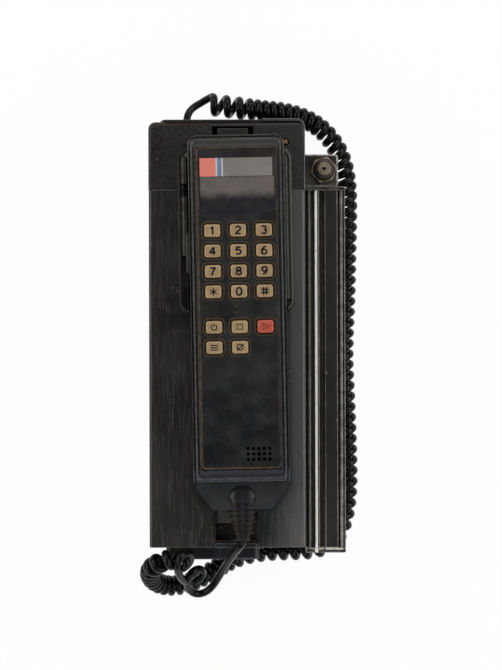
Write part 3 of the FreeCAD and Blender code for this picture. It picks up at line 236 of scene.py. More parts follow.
@dataclass
class Pile:
    """Gathers shapes and makes one mesh of them."""

    points: list[Points] = field(default_factory=list)
    faces: list[list[int]] = field(default_factory=list)
    worn: list[Points] = field(default_factory=list)
    dirt: list[Points] = field(default_factory=list)
    count: int = 0

    def loft(self, x: Points, y: Points, z: Points, wraps: tuple[bool, bool],
             worn: Points | float = 0.0, dirt: Points | float = 0.0) -> "Pile":
        """Put a skin on the pile; every array is spread to rows by columns.

        Args:
            x: the points' places along X.
            y: their places along Y.
            z: their places along Z.
            wraps: whether the last row joins the first, and whether each row is a ring.
            worn: the points' wear.
            dirt: the points' dirt.

        Returns:
            The pile.
        """
        block = np.stack(np.broadcast_arrays(x, y, z), axis=-1)
        rows, columns = block.shape[:2]
        faces = grid_faces(rows, columns, *wraps)
        self.faces.extend([[self.count + corner for corner in face] for face in faces])
        self.points.append(block.reshape(-1, 3).astype(float))
        self.count += rows * columns
        for marks, mark in ((self.worn, worn), (self.dirt, dirt)):
            marks.append(np.broadcast_to(mark, (rows, columns)).astype(float).ravel())
        return self

    def carry(self, plan: Plan, corners: Corners, closed: bool = False, steps: int = 4,
              corner_steps: int = 8, open_low: bool = False) -> "Pile":
        """Carry a profile round a plan, as a closed band or as a solid with flat ends.

        Each point of the profile gives the plan's outline at its offset, at its level.

        Args:
            plan: the outline that the profile follows.
            corners: the profile, from its lower outside to its upper inside.
            closed: whether the profile is closed, which leaves a hole in the middle.
            steps: how many runs the profile's arcs have.
            corner_steps: how many runs the plan's arcs have.
            open_low: whether the band stops at the lower end instead of going round it, which
                needs a closed profile.

        Returns:
            The pile.
        """
        profile, worn, dirt = fillet_profile(corners, closed, steps)
        outlines = plan.outlines(profile[:, 0], corner_steps)
        if open_low:
            outlines = outlines[:, corner_steps:3 * corner_steps + 4]
            outlines[:, [0, -1], 1] = plan.low
        return self.loft(outlines[..., 0], outlines[..., 1], profile[:, 1:], (closed, not open_low),
                         worn[:, None], dirt[:, None])

    def sweep(self, route: Corners, corners: Corners, steps: int = 8) -> "Pile":
        """Carry a closed profile along an open route, whose outer side is on its right hand.

        A point is the route's point plus the offset times the direction square to the route.

        Args:
            route: (x, y) or (x, y, radius) of the route's corners.
            corners: the closed profile as (offset, level) or (offset, level, radius).
            steps: how many runs the route's arcs have.

        Returns:
            The pile.
        """
        line, _, _ = fillet_profile(route, False, steps, 0.0)
        profile, worn, dirt = fillet_profile(corners, True, 3)
        ahead = np.gradient(line, axis=0)
        ahead /= np.linalg.norm(ahead, axis=1, keepdims=True)
        offset, level = profile[:, :1], profile[:, 1:]
        return self.loft(line[:, 0] + offset * ahead[:, 1], line[:, 1] - offset * ahead[:, 0], level,
                         (True, False), worn[:, None], dirt[:, None])

    def build(self, name: str, seat: Seat = CASE_SEAT, smooth_angle: float = 42.0) -> Piece:
        """Make the object at the origin, with its faces pointing out.

        Args:
            name: the piece's name.
            seat: where the points lie.
            smooth_angle: the angle in degrees above which an edge stays sharp.

        Returns:
            The object, linked to the scene.
        """
        mesh = bpy.data.meshes.new(name)
        points = seat.place(np.vstack(self.points)) * MM
        mesh.from_pydata(points.tolist(), [], self.faces)
        for label, marks in (("worn", self.worn), ("dirt", self.dirt)):
            layer = mesh.attributes.new(label, "FLOAT", "POINT")
            layer.data.foreach_set("value", np.concatenate(marks).astype(np.float32))
        form = bmesh.new()
        form.from_mesh(mesh)
        bmesh.ops.recalc_face_normals(form, faces=form.faces)
        form.to_mesh(mesh)
        form.free()
        mesh.shade_smooth()
        mesh.set_sharp_from_angle(angle=math.radians(smooth_angle))
        return linked(name, mesh)


def linked(name: str, data: bpy.types.ID) -> Piece:
    """Make an object of some data and link it to the scene."""
    item = bpy.data.objects.new(name, data)
    bpy.context.scene.collection.objects.link(item)
    return item


def softened(node: Piece, name: str, width: float, segments: int = 2) -> Piece:
    """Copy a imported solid, join its flat faces, round its outer edges and mark those as worn.

    Args:
        node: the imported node.
        name: the new piece's name.
        width: the width of the rounded edge.
        segments: how many faces the rounded edge has.

    Returns:
        The new piece.
    """
    weld, flat_angle, edge_angle = 2e-6, math.radians(0.6), math.radians(34)
    mesh = bpy.data.meshes.new(name)
    form = bmesh.new()
    form.from_mesh(node.data)
    bmesh.ops.remove_doubles(form, verts=form.verts, dist=weld)
    bmesh.ops.dissolve_limit(form, angle_limit=flat_angle, verts=form.verts, edges=form.edges)
    edges = [edge for edge in form.edges if edge.is_convex and edge.calc_face_angle(0.0) > edge_angle]
    rounded = bmesh.ops.bevel(form, geom=edges, offset=width * MM, segments=segments, profile=0.5,
                              affect="EDGES", clamp_overlap=True)
    worn = form.loops.layers.float.new("worn")
    for face in rounded["faces"]:
        for corner in face.loops:
            corner[worn] = 1.0
    form.to_mesh(mesh)
    form.free()
    mesh.shade_smooth()
    piece = linked(name, mesh)
    piece.modifiers.new("weighted", "WEIGHTED_NORMAL").keep_sharp = False
    return piece


# ---------------------------------------------------------------- finishes

def shade(colour: Colour) -> tuple[float, float, float, float]:
    """Turn a display colour of 0 to 255 into the linear colour that a shader takes."""
    part = np.broadcast_to(np.array(colour, float) / 255, 3)
    linear = np.where(part <= 0.04045, part / 12.92, ((part + 0.055) / 1.055) ** 2.4)
    return (*linear.tolist(), 1.0)


class Graph:
    """Adds nodes to one tree; a socket that is given as a value is wired, and the rest are set."""

    def __init__(self, tree: bpy.types.NodeTree) -> None:
        """Start on a tree."""
        self.tree = tree

    @classmethod
    def of(cls, material: bpy.types.Material) -> "Graph":
        """Start on a material's emptied tree."""
        material.use_nodes = True
        material.node_tree.nodes.clear()
        return cls(material.node_tree)

    def put(self, socket: Socket, value: object) -> None:
        """Wire a socket to another one, or set its value."""
        if isinstance(value, Socket):
            self.tree.links.new(value, socket)
        else:
            socket.default_value = value

    def add(self, kind: str, *values: object, options: dict | None = None,
            **named: object) -> bpy.types.Node:
        """Add a node with its options, its first inputs in order and others by name.

        Args:
            kind: the node's type without its first word.
            values: values of the first inputs, where None leaves one alone.
            options: the node's own settings.
            named: values of inputs by name, with underscores for spaces.

        Returns:
            The node.
        """
        node = self.tree.nodes.new(f"ShaderNode{kind}")
        for option, setting in (options or {}).items():
            setattr(node, option, setting)
        for socket, value in zip(node.inputs, values):
            if value is not None:
                self.put(socket, value)
        for label, value in named.items():
            self.put(node.inputs[label.replace("_", " ")], value)
        return node

    def maths(self, operation: str, *values: object, clamp: bool = False) -> Socket:
        """Add a Math node and return its result."""
        options = {"operation": operation, "use_clamp": clamp}
        return self.add("Math", *values, options=options).outputs[0]

    def times(self, *values: object) -> Socket:
        """Multiply values."""
        return reduce(lambda first, second: self.maths("MULTIPLY", first, second), values)

    def plus(self, first: object, second: object) -> Socket:
        """Add two values."""
        return self.maths("ADD", first, second)

    def minus(self, first: object, second: object) -> Socket:
        """Take the second value from the first."""
        return self.maths("SUBTRACT", first, second)

    def most(self, *values: object) -> Socket:
        """Return the greatest value."""
        return reduce(lambda first, second: self.maths("MAXIMUM", first, second), values)

    def off(self, value: object, limit: float, middle: object = 0.0) -> Socket:
        """Return how far a value lies beyond a distance from a middle, either way."""
        return self.minus(self.maths("ABSOLUTE", self.minus(value, middle)), limit)

    def drift(self, value: object, cloud: Socket, reach: float) -> Socket:
        """Shift a value by a cloud of 0 to 1 about its middle."""
        return self.plus(value, self.times(self.minus(cloud, 0.5), reach))

    def lay(self, under: object, colour: Colour, *shares: object) -> Socket:
        """Lay a colour over another one by the product of some shares."""
        node = self.add("Mix", options={"data_type": "RGBA"})
        for index, value in ((0, self.times(*shares)), (6, under), (7, shade(colour))):
            self.put(node.inputs[index], value)
        return node.outputs[2]

    def span(self, value: object, start: object, stop: object, low: float = 0.0, high: float = 1.0,
             kind: str = "SMOOTHSTEP") -> Socket:
        """Map a value from one range to another, smoothly unless told otherwise, and return it."""
        return self.add("MapRange", value, start, stop, low, high,
                        options={"interpolation_type": kind}).outputs[0]

    def noise(self, place: object, scale: object, detail: float = 3.0, roughness: float = 0.55) -> Socket:
        """Add a noise texture and return its value."""
        node = self.add("TexNoise", Vector=place, Scale=scale, Detail=detail, Roughness=roughness)
        return node.outputs[0]

    def split(self, place: Socket) -> tuple[Socket, ...]:
        """Return x, y and z of a place, in metres."""
        return tuple(self.add("SeparateXYZ", place).outputs)

    def cradle(self, place: Socket) -> tuple[Socket, ...]:
        """Return x, y and z about the cradle's own axis, in metres."""
        mapping = self.add("Mapping", place, Location=(CRADLE_SEAT.shift * MM, 0.0, 0.0),
                           Rotation=(0.0, 0.0, math.radians(CRADLE_SEAT.yaw)),
                           options={"vector_type": "TEXTURE"})
        return self.split(mapping.outputs[0])

    def group(self, name: str, **named: object) -> Socket:
        """Place a shared group and return its first output."""
        return self.add("Group", options={"node_tree": SharedGroups.get(name)}, **named).outputs[0]

    def band(self, amount: Socket, low: float, high: float, soft: float) -> Socket:
        """Return 1 between two limits of an amount, with soft edges."""
        return self.group("band", Amount=amount, Low=low, High=high, Soft=soft)

    def patchy(self, place: Socket, mark: Socket, scale: float = 260.0, evenness: float = 0.35) -> Socket:
        """Break up a mark, so that wear and dirt look patchy."""
        return self.group("marked", Place=place, Mark=mark, Scale=scale, Evenness=evenness)


class SharedGroups:
    """The shader groups that several finishes use, each built once when it is first asked for.

    A group's inputs are listed with their defaults, where None stands for a place, and a method of
    the group's name draws it from its input sockets.
    """

    made: dict[str, bpy.types.NodeTree] = {}
    inputs: dict[str, dict[str, float | None]] = {
        "mottle": {"Place": None, "Scale": 40.0, "Low": 0.4, "High": 0.6},
        "pebble": {"Place": None, "Scale": 1200.0},
        "brushed": {"Place": None, "Scale": 900.0, "Stretch": 0.03},
        "specks": {"Place": None, "Scale": 300.0, "Size": 0.12, "Share": 0.2},
        "scratches": {"Place": None, "Scale": 60.0, "Turn": 0.6, "Share": 0.62},
        "marked": {"Place": None, "Mark": 0.0, "Scale": 250.0, "Evenness": 0.5},
        "band": {"Amount": 0.0, "Low": 0.0, "High": 1.0, "Soft": 0.0005},
    }

    @classmethod
    def get(cls, name: str) -> bpy.types.NodeTree:
        """Return a group by name."""
        if name not in cls.made:
            tree = bpy.data.node_groups.new(name, "ShaderNodeTree")
            for label, default in cls.inputs[name].items():
                kind = "NodeSocketVector" if default is None else "NodeSocketFloat"
                socket = tree.interface.new_socket(label, in_out="INPUT", socket_type=kind)
                if default is not None:
                    socket.default_value = default
            tree.interface.new_socket("Value", in_out="OUTPUT", socket_type="NodeSocketFloat")
            entry, leave = tree.nodes.new("NodeGroupInput"), tree.nodes.new("NodeGroupOutput")
            graph = Graph(tree)
            graph.put(leave.inputs[0], getattr(cls, name)(graph, entry.outputs))
            cls.made[name] = tree
        return cls.made[name]

    @staticmethod
    def mottle(graph: Graph, given: Sequence[Socket]) -> Socket:
        """Soft patches: noise whose values between two limits are spread from 0 to 1."""
        cloud = graph.noise(given["Place"], given["Scale"], 5.0, 0.6)
        return graph.span(cloud, given["Low"], given["High"])

    @staticmethod
    def pebble(graph: Graph, given: Sequence[Socket]) -> Socket:
        """Moulded leather grain: round cells with soft valleys, broken up by finer noise."""
        cells = graph.add("TexVoronoi", Vector=given["Place"], Scale=given["Scale"],
                          options={"feature": "SMOOTH_F1"})
        fine = graph.noise(given["Place"], graph.times(given["Scale"], 2.3), 2.0)
        return graph.plus(graph.minus(1.0, cells.outputs["Distance"]), graph.times(fine, 0.45))

    @staticmethod
    def brushed(graph: Graph, given: Sequence[Socket]) -> Socket:
        """Fine lines along Y: noise on a place that is drawn out along Y."""
        drawn = graph.add("CombineXYZ", 1.0, given["Stretch"], 1.0).outputs[0]
        place = graph.add("VectorMath", given["Place"], drawn, options={"operation": "MULTIPLY"})
        return graph.noise(place.outputs[0], given["Scale"], 4.0, 0.7)

    @staticmethod
    def specks(graph: Graph, given: Sequence[Socket]) -> Socket:
        """Scattered dots: the cores of random cells, of which only a share is kept."""
        cells = graph.add("TexVoronoi", Vector=given["Place"], Scale=given["Scale"])
        near = graph.maths("LESS_THAN", cells.outputs["Distance"], given["Size"])
        parted = graph.add("SeparateColor", cells.outputs["Color"])
        return graph.times(near, graph.maths("LESS_THAN", parted.outputs[0], given["Share"]))

    @staticmethod
    def scratches(graph: Graph, given: Sequence[Socket]) -> Socket:
        """Thin short marks: where drawn-out noise crosses a level, inside a few soft patches."""
        turn = graph.add("CombineXYZ", 0.0, 0.0, given["Turn"]).outputs[0]
        place = graph.add("Mapping", given["Place"], Rotation=turn, Scale=(1.0, 0.06, 1.0)).outputs[0]
        lines = graph.noise(place, graph.times(given["Scale"], 6.0), 2.0)
        near = graph.maths("LESS_THAN", graph.maths("ABSOLUTE", graph.minus(lines, 0.5)), 0.004)
        patch = graph.noise(given["Place"], given["Scale"], 1.0)
        return graph.times(near, graph.maths("GREATER_THAN", patch, given["Share"]))

    @staticmethod
    def marked(graph: Graph, given: Sequence[Socket]) -> Socket:
        """Break up a mark that the mesh carries."""
        patch = graph.span(graph.noise(given["Place"], given["Scale"], 4.0, 0.65), 0.38, 0.62)
        share = graph.plus(graph.times(patch, graph.minus(1.0, given["Evenness"])), given["Evenness"])
        return graph.maths("MULTIPLY", given["Mark"], share, clamp=True)

    @staticmethod
    def band(graph: Graph, given: Sequence[Socket]) -> Socket:
        """A strip: 1 between two limits of a value, with soft edges."""
        edges = []
        for limit, first, last in (("Low", 0.0, 1.0), ("High", 1.0, 0.0)):
            start, stop = (graph.maths(way, given[limit], given["Soft"]) for way in ("SUBTRACT", "ADD"))
            edges.append(graph.span(given["Amount"], start, stop, first, last, "LINEAR"))
        return graph.times(*edges)


@dataclass(frozen=True)
class Finish:
    """A surface of one colour that varies in patches, with grain, dust, wear and dirt.

    Scales are per metre, and depths are in millimetres.
    """

    name: str
    base: Colour
    second: Colour
    patch_scale: float = 60.0
    rough: Pair = (0.42, 0.6)
    grain: str = "pebble"
    grain_scale: float = 1300.0
    grain_depth: float = 0.03
    grain_tone: float = 0.0
    grain_colour: Colour = (74, 73, 70)
    grain_from: float = 0.55
    dust: Colour = (120, 112, 100)
    dust_share: float = 0.0
    speck_share: float = 0.0
    speck: Colour = (150, 146, 138)
    scratch_share: float = 0.0
    worn: Colour = (96, 94, 92)
    worn_share: float = 0.7
    worn_even: float = 0.3
    dirt: Colour = (70, 54, 36)
    dirt_share: float = 0.8
    metallic: float = 0.0
    specular: float = 0.5

    def material(self) -> bpy.types.Material:
        """Return the material, made on its first use."""
        name = f"{self.name}_finish"
        found = bpy.data.materials.get(name)
        if found is not None:
            return found
        made = bpy.data.materials.new(name)
        graph = Graph.of(made)
        place = graph.add("TexCoord").outputs["Object"]
        colour, rough = self.surface(graph, place)
        shader = graph.add("BsdfPrincipled", Base_Color=colour, Roughness=rough, Metallic=self.metallic,
                           Specular_IOR_Level=self.specular)
        if self.grain_depth > 0:
            height = graph.group(self.grain, Place=place, Scale=self.grain_scale)
            bump = graph.add("Bump", Height=height, Distance=self.grain_depth * MM, Strength=1.0)
            graph.put(shader.inputs["Normal"], bump.outputs[0])
        graph.add("OutputMaterial", shader.outputs[0])
        return made

    def ground(self, graph: Graph, place: Socket) -> Socket:
        """Return the colour under the dust and the wear."""
        patch = graph.group("mottle", Place=place, Scale=self.patch_scale)
        return graph.lay(shade(self.base), self.second, patch)

    def surface(self, graph: Graph, place: Socket) -> tuple[Socket, Socket]:
        """Lay grain tone, dust, specks, scratches, dirt and wear over the ground.

        Args:
            graph: the material's graph.
            place: the object coordinates.

        Returns:
            The colour and the roughness.
        """
        colour = self.ground(graph, place)
        if self.grain_tone > 0:
            grain = graph.group(self.grain, Place=place, Scale=self.grain_scale)
            tone = graph.span(grain, self.grain_from, 1.0, 0.0, self.grain_tone)
            colour = graph.lay(colour, self.grain_colour, tone)
        if self.dust_share > 0:
            film = graph.group("mottle", Place=place, Scale=self.patch_scale * 2.7, Low=0.42, High=0.75)
            colour = graph.lay(colour, self.dust, film, self.dust_share)
        if self.speck_share > 0:
            dots = graph.group("specks", Place=place, Scale=320.0, Size=0.14, Share=self.speck_share)
            colour = graph.lay(colour, self.speck, dots, 0.75)
        if self.scratch_share > 0:
            marks = graph.group("scratches", Place=place)
            colour = graph.lay(colour, self.speck, marks, self.scratch_share)
        for label, tint, share, scale, evenness in (
                ("dirt", self.dirt, self.dirt_share, 330.0, 0.45),
                ("worn", self.worn, self.worn_share, 210.0, self.worn_even)):
            mark = graph.add("Attribute", options={"attribute_name": label}).outputs["Fac"]
            colour = graph.lay(colour, tint, graph.patchy(place, mark, scale, evenness), share)
        cloud = graph.noise(place, self.patch_scale * 1.7, 4.0)
        return colour, graph.span(cloud, 0.3, 0.7, *self.rough)


@dataclass(frozen=True)
class FaceFinish(Finish):
    """The face panel: dust between the keys, and a painted dark bluish sheen towards its lower left."""

    # The colour of the painted dark bluish sheen on the face's lower left.
    rubbed: Colour = (5, 7, 13)
    edge: Colour = (104, 84, 60)
    sheen_from: Pair = (-0.008, -0.045)
    corner_centre: Pair = (0.0199, -0.0703)
    border: Pair = (0.0018, 0.0029)
    upper_border: Pair = (0.1113, 0.1124)

    def ground(self, graph: Graph, place: Socket) -> Socket:
        """Fade from the dust-covered upper part to a painted dark bluish sheen on the lower part, with a
        border of dust.

        The border at the sides and the lower end is read by the distance from the box of the
        corners' centres, so that it goes round the corners.
        """
        x, y, _ = graph.cradle(place)
        cloud = graph.noise(place, 45.0, 5.0, 0.6)
        # Painted sheen: darker and bluish towards the lower end and the left side.
        low = graph.span(graph.drift(y, cloud, 0.09), *self.sheen_from)
        left = graph.span(graph.plus(x, graph.times(cloud, 0.02)), 0.004, -0.010, 0.5, 1.0)
        colour = graph.lay(super().ground(graph, place), self.rubbed, low, left)
        across = graph.most(graph.off(x, self.corner_centre[0]), 0.0)
        along = graph.most(graph.minus(self.corner_centre[1], y), 0.0)
        out = graph.maths("SQRT", graph.plus(graph.times(across, across), graph.times(along, along)))
        side = graph.times(graph.span(out, *self.border), graph.span(x, 0.019, 0.0215, 1.0, 0.45))
        border = graph.most(side, graph.span(y, *self.upper_border))
        return graph.lay(colour, self.edge, graph.patchy(place, border), 0.8)


@dataclass(frozen=True)
class LensFinish(Finish):
    """The display's lens: dust lies on its upper part and ends in a soft uneven edge."""

    clear: Colour = (33, 33, 37)
    dust_ends: Pair = (0.088, 0.0815)

    def ground(self, graph: Graph, place: Socket) -> Socket:
        """Mix the dust-covered upper part with the clear lower part."""
        _, y, _ = graph.cradle(place)
        drift = graph.drift(y, graph.noise(place, 120.0, 4.0), 0.006)
        return graph.lay(super().ground(graph, place), self.clear, graph.span(drift, *self.dust_ends))


@dataclass(frozen=True)
class LabelFinish(Finish):
    """The strip above the display: a block and two upright stripes on a plain ground."""

    block: Colour = (218, 122, 108)
    stripe: Colour = (104, 122, 158)
    line: Colour = (196, 194, 188)

    def ground(self, graph: Graph, place: Socket) -> Socket:
        """Lay the block, the lines and the stripe by their distance along the strip."""
        x, _, _ = graph.cradle(place)
        colour = super().ground(graph, place)
        for low, high, ink in ((-0.03, -0.0117, self.block), (-0.0117, -0.0108, self.line),
                               (-0.0108, -0.0083, self.stripe), (-0.0083, -0.0076, self.line)):
            colour = graph.lay(colour, ink, graph.band(x, low, high, 0.00008), 0.94)
        return colour


@dataclass(frozen=True)
class CapFinish(Finish):
    """The cap: pebbled plastic, lighter on its right side by painted light."""

    painted_light_tone: Colour = (36, 36, 35)

    def ground(self, graph: Graph, place: Socket) -> Socket:
        """Fade to a painted lighter tone from left to right."""
        x, _, _ = graph.split(place)
        # Painted light: the cap is lighter towards its right side.
        right = graph.span(x, -0.035, 0.03, 0.0, 0.7)
        return graph.lay(super().ground(graph, place), self.painted_light_tone, right)


@dataclass(frozen=True)
class CoverFinish(Finish):
    """The lower cover: brushed along its length, and paler towards the heat sink by dust and painted
    light.
    """

    # The colour of the painted shadow beside the handset and under the tub's foot.
    painted_shade: Colour = 8
    pale: Colour = (91, 89, 88)
    scored: Colour = (116, 113, 109)
    pale_from: Pair = (0.008, 0.034)
    handset_side: float = 0.0268
    handset_taper: Triple = (0.787, 0.617, 0.0737)
    handset_end: float = -0.0977
    tub_shadow_at: Pair = (-0.035, 0.0125)
    tub_shadow_half: Pair = (0.006, 0.003)

    def ground(self, graph: Graph, place: Socket) -> Socket:
        """Add fine lines, a paler right side of dust and painted light, and the painted shadow to the
        patches.
        """
        x, _, _ = graph.split(place)
        # Partly dust and partly painted light: the cover turns paler towards the heat sink.
        colour = graph.lay(super().ground(graph, place), self.pale, graph.span(x, *self.pale_from), 0.8)
        lines = graph.group("brushed", Place=place, Scale=900.0, Stretch=0.06)
        colour = graph.lay(colour, self.scored, graph.span(lines, 0.45, 0.7, 0.0, 0.2))
        # Painted shadow: the cover darkens beside the handset and under the tub's foot.
        return graph.lay(colour, self.painted_shade, self.painted_shadow_mask(graph, place), 0.8)

    def painted_shadow_mask(self, graph: Graph, place: Socket) -> Socket:
        """Return where shadow is painted: near the handset's sides and tapered end, and at the tub's foot.

        The distance from the handset is the greatest of those from its side, its taper and its end.
        """
        x, y, _ = graph.cradle(place)
        across = graph.maths("ABSOLUTE", x)
        slope_x, slope_y, reach = self.handset_taper
        taper = graph.minus(graph.minus(graph.times(across, slope_x), graph.times(y, slope_y)), reach)
        away = graph.most(graph.minus(across, self.handset_side), taper, graph.minus(self.handset_end, y))
        foot = graph.most(*(graph.off(value, half, middle) for value, half, middle
                            in zip((x, y), self.tub_shadow_half, self.tub_shadow_at)))
        return graph.most(graph.span(away, 0.005, 0.0003), graph.span(foot, 0.0035, 0.0))


@dataclass(frozen=True)
class FrameFinish(Finish):
    """The handset's frame: a painted highlight on its upper slope, painted cool light at its foot, and
    painted shade and grime beside the face.
    """

    painted_cool_light: Colour = (25, 29, 40)
    dusty: Colour = (60, 59, 56)
    # The near-black colour of the painted shade on the slope and the lip.
    painted_shade: Colour = 1
    soiled: Colour = (84, 68, 50)
    slope: Pair = (0.0239, 0.0250)
    crest: Pair = (0.0228, 0.0237)
    lip: Pair = (0.0263, 0.0266)
    upper_slope: Pair = (0.1105, 0.117)
    foot: Pair = (-0.05, -0.072)

    def surface(self, graph: Graph, place: Socket) -> tuple[Socket, Socket]:
        """Paint shade on the slope beside the face and on the lip's lower runs, and soil the crest."""
        colour, rough = super().surface(graph, place)
        x, y, _ = graph.cradle(place)
        across = graph.maths("ABSOLUTE", x)
        slope = graph.band(across, *self.slope, 0.0002)
        slope = graph.times(slope, graph.span(y, 0.085, 0.05, 0.3, 0.92))
        left = graph.times(graph.span(x, 0.001, -0.001), graph.span(y, 0.09, 0.07))
        lip = graph.times(graph.span(across, *self.lip), graph.most(graph.span(y, 0.021, 0.018), left))
        low_end = graph.span(y, -0.076, -0.072)
        # Painted shade: the slope beside the face and the lip's lower runs go near black.
        colour = graph.lay(colour, self.painted_shade, graph.most(slope, lip), low_end, 0.95)
        crest = graph.band(across, *self.crest, 0.0002)
        crest = graph.times(crest, graph.span(x, 0.001, -0.001, 0.25, 0.75))
        ends = graph.times(graph.span(y, -0.071, -0.068), graph.span(y, 0.108, 0.104))
        return graph.lay(colour, self.soiled, graph.patchy(place, crest), ends), rough

    def ground(self, graph: Graph, place: Socket) -> Socket:
        """Lay a painted highlight on the upper slope and painted cool light on the patches towards the
        foot.
        """
        _, y, _ = graph.cradle(place)
        # Painted highlight: the upper slope is laid lighter, as where light falls on it.
        upper = graph.band(y, *self.upper_slope, 0.0008)
        colour = graph.lay(super().ground(graph, place), self.dusty, upper, 0.8)
        # Painted cool light: the patches turn bluish towards the foot.
        return graph.lay(colour, self.painted_cool_light, graph.span(y, *self.foot))


@dataclass(frozen=True)
class TubFinish(Finish):
    """The tub and its cushions: paler on the heat sink's side near the top, partly dust and partly painted
    light.
    """

    pale: Colour = (98, 96, 90)

    def ground(self, graph: Graph, place: Socket) -> Socket:
        """Mix in the pale tone to the right of the middle and near the top, partly dust and partly painted
        light.
        """
        x, _, z = graph.cradle(place)
        return graph.lay(super().ground(graph, place), self.pale, graph.span(x, 0.0, 0.01),
                         graph.span(z, 0.066, 0.0705, 0.0, 0.8))


@dataclass(frozen=True)
class KeyFinish(Finish):
    """A key cap: printed plastic with a faint stain."""

    def ground(self, graph: Graph, place: Socket) -> Socket:
        """Add a faint fine stain to the patches."""
        stain = graph.group("mottle", Place=place, Scale=900.0, Low=0.5, High=0.8)
        return graph.lay(super().ground(graph, place), self.dirt, stain, 0.25)


@dataclass(frozen=True)
class RailFinish(Finish):
    """The heat sink: dark bars, brown grime in its grooves and one fin worn bright.

    A strip of grime is given as its low and high end across the rail, and its share.
    """

    grime: Colour = (84, 66, 48)
    bright: Colour = (255, 252, 242)
    strips: tuple[Triple, ...] = (
        (0.0363, 0.0374, 0.95), (0.0374, 0.0399, 0.55), (0.0416, 0.0427, 0.95), (0.0427, 0.0459, 0.5),
        (0.0537, 0.0549, 0.3))
    bright_fin: Pair = (0.0399, 0.0416)

    def ground(self, graph: Graph, place: Socket) -> Socket:
        """Lay grime and the bright fin by their place across the rail."""
        x, y, z = graph.split(place)
        colour = super().ground(graph, place)
        cloud = graph.noise(place, 130.0, 5.0, 0.65)
        patchy, upper = graph.span(cloud, 0.3, 0.6, 0.35, 1.0), graph.span(z, 0.0455, 0.0463)
        for low, high, share in self.strips:
            colour = graph.lay(colour, self.grime, graph.band(x, low, high, 0.0002), patchy, share, upper)
        foot = graph.times(graph.span(y, -0.1222, -0.1230), graph.span(y, -0.1242, -0.1234))
        colour = graph.lay(colour, self.bright, foot, graph.span(cloud, 0.42, 0.6), 0.8)
        fin = graph.times(graph.band(x, *self.bright_fin, 0.0001), graph.span(z, 0.0492, 0.0496))
        return graph.lay(colour, self.bright, fin, graph.span(cloud, 0.15, 0.35, 0.7, 1.0))


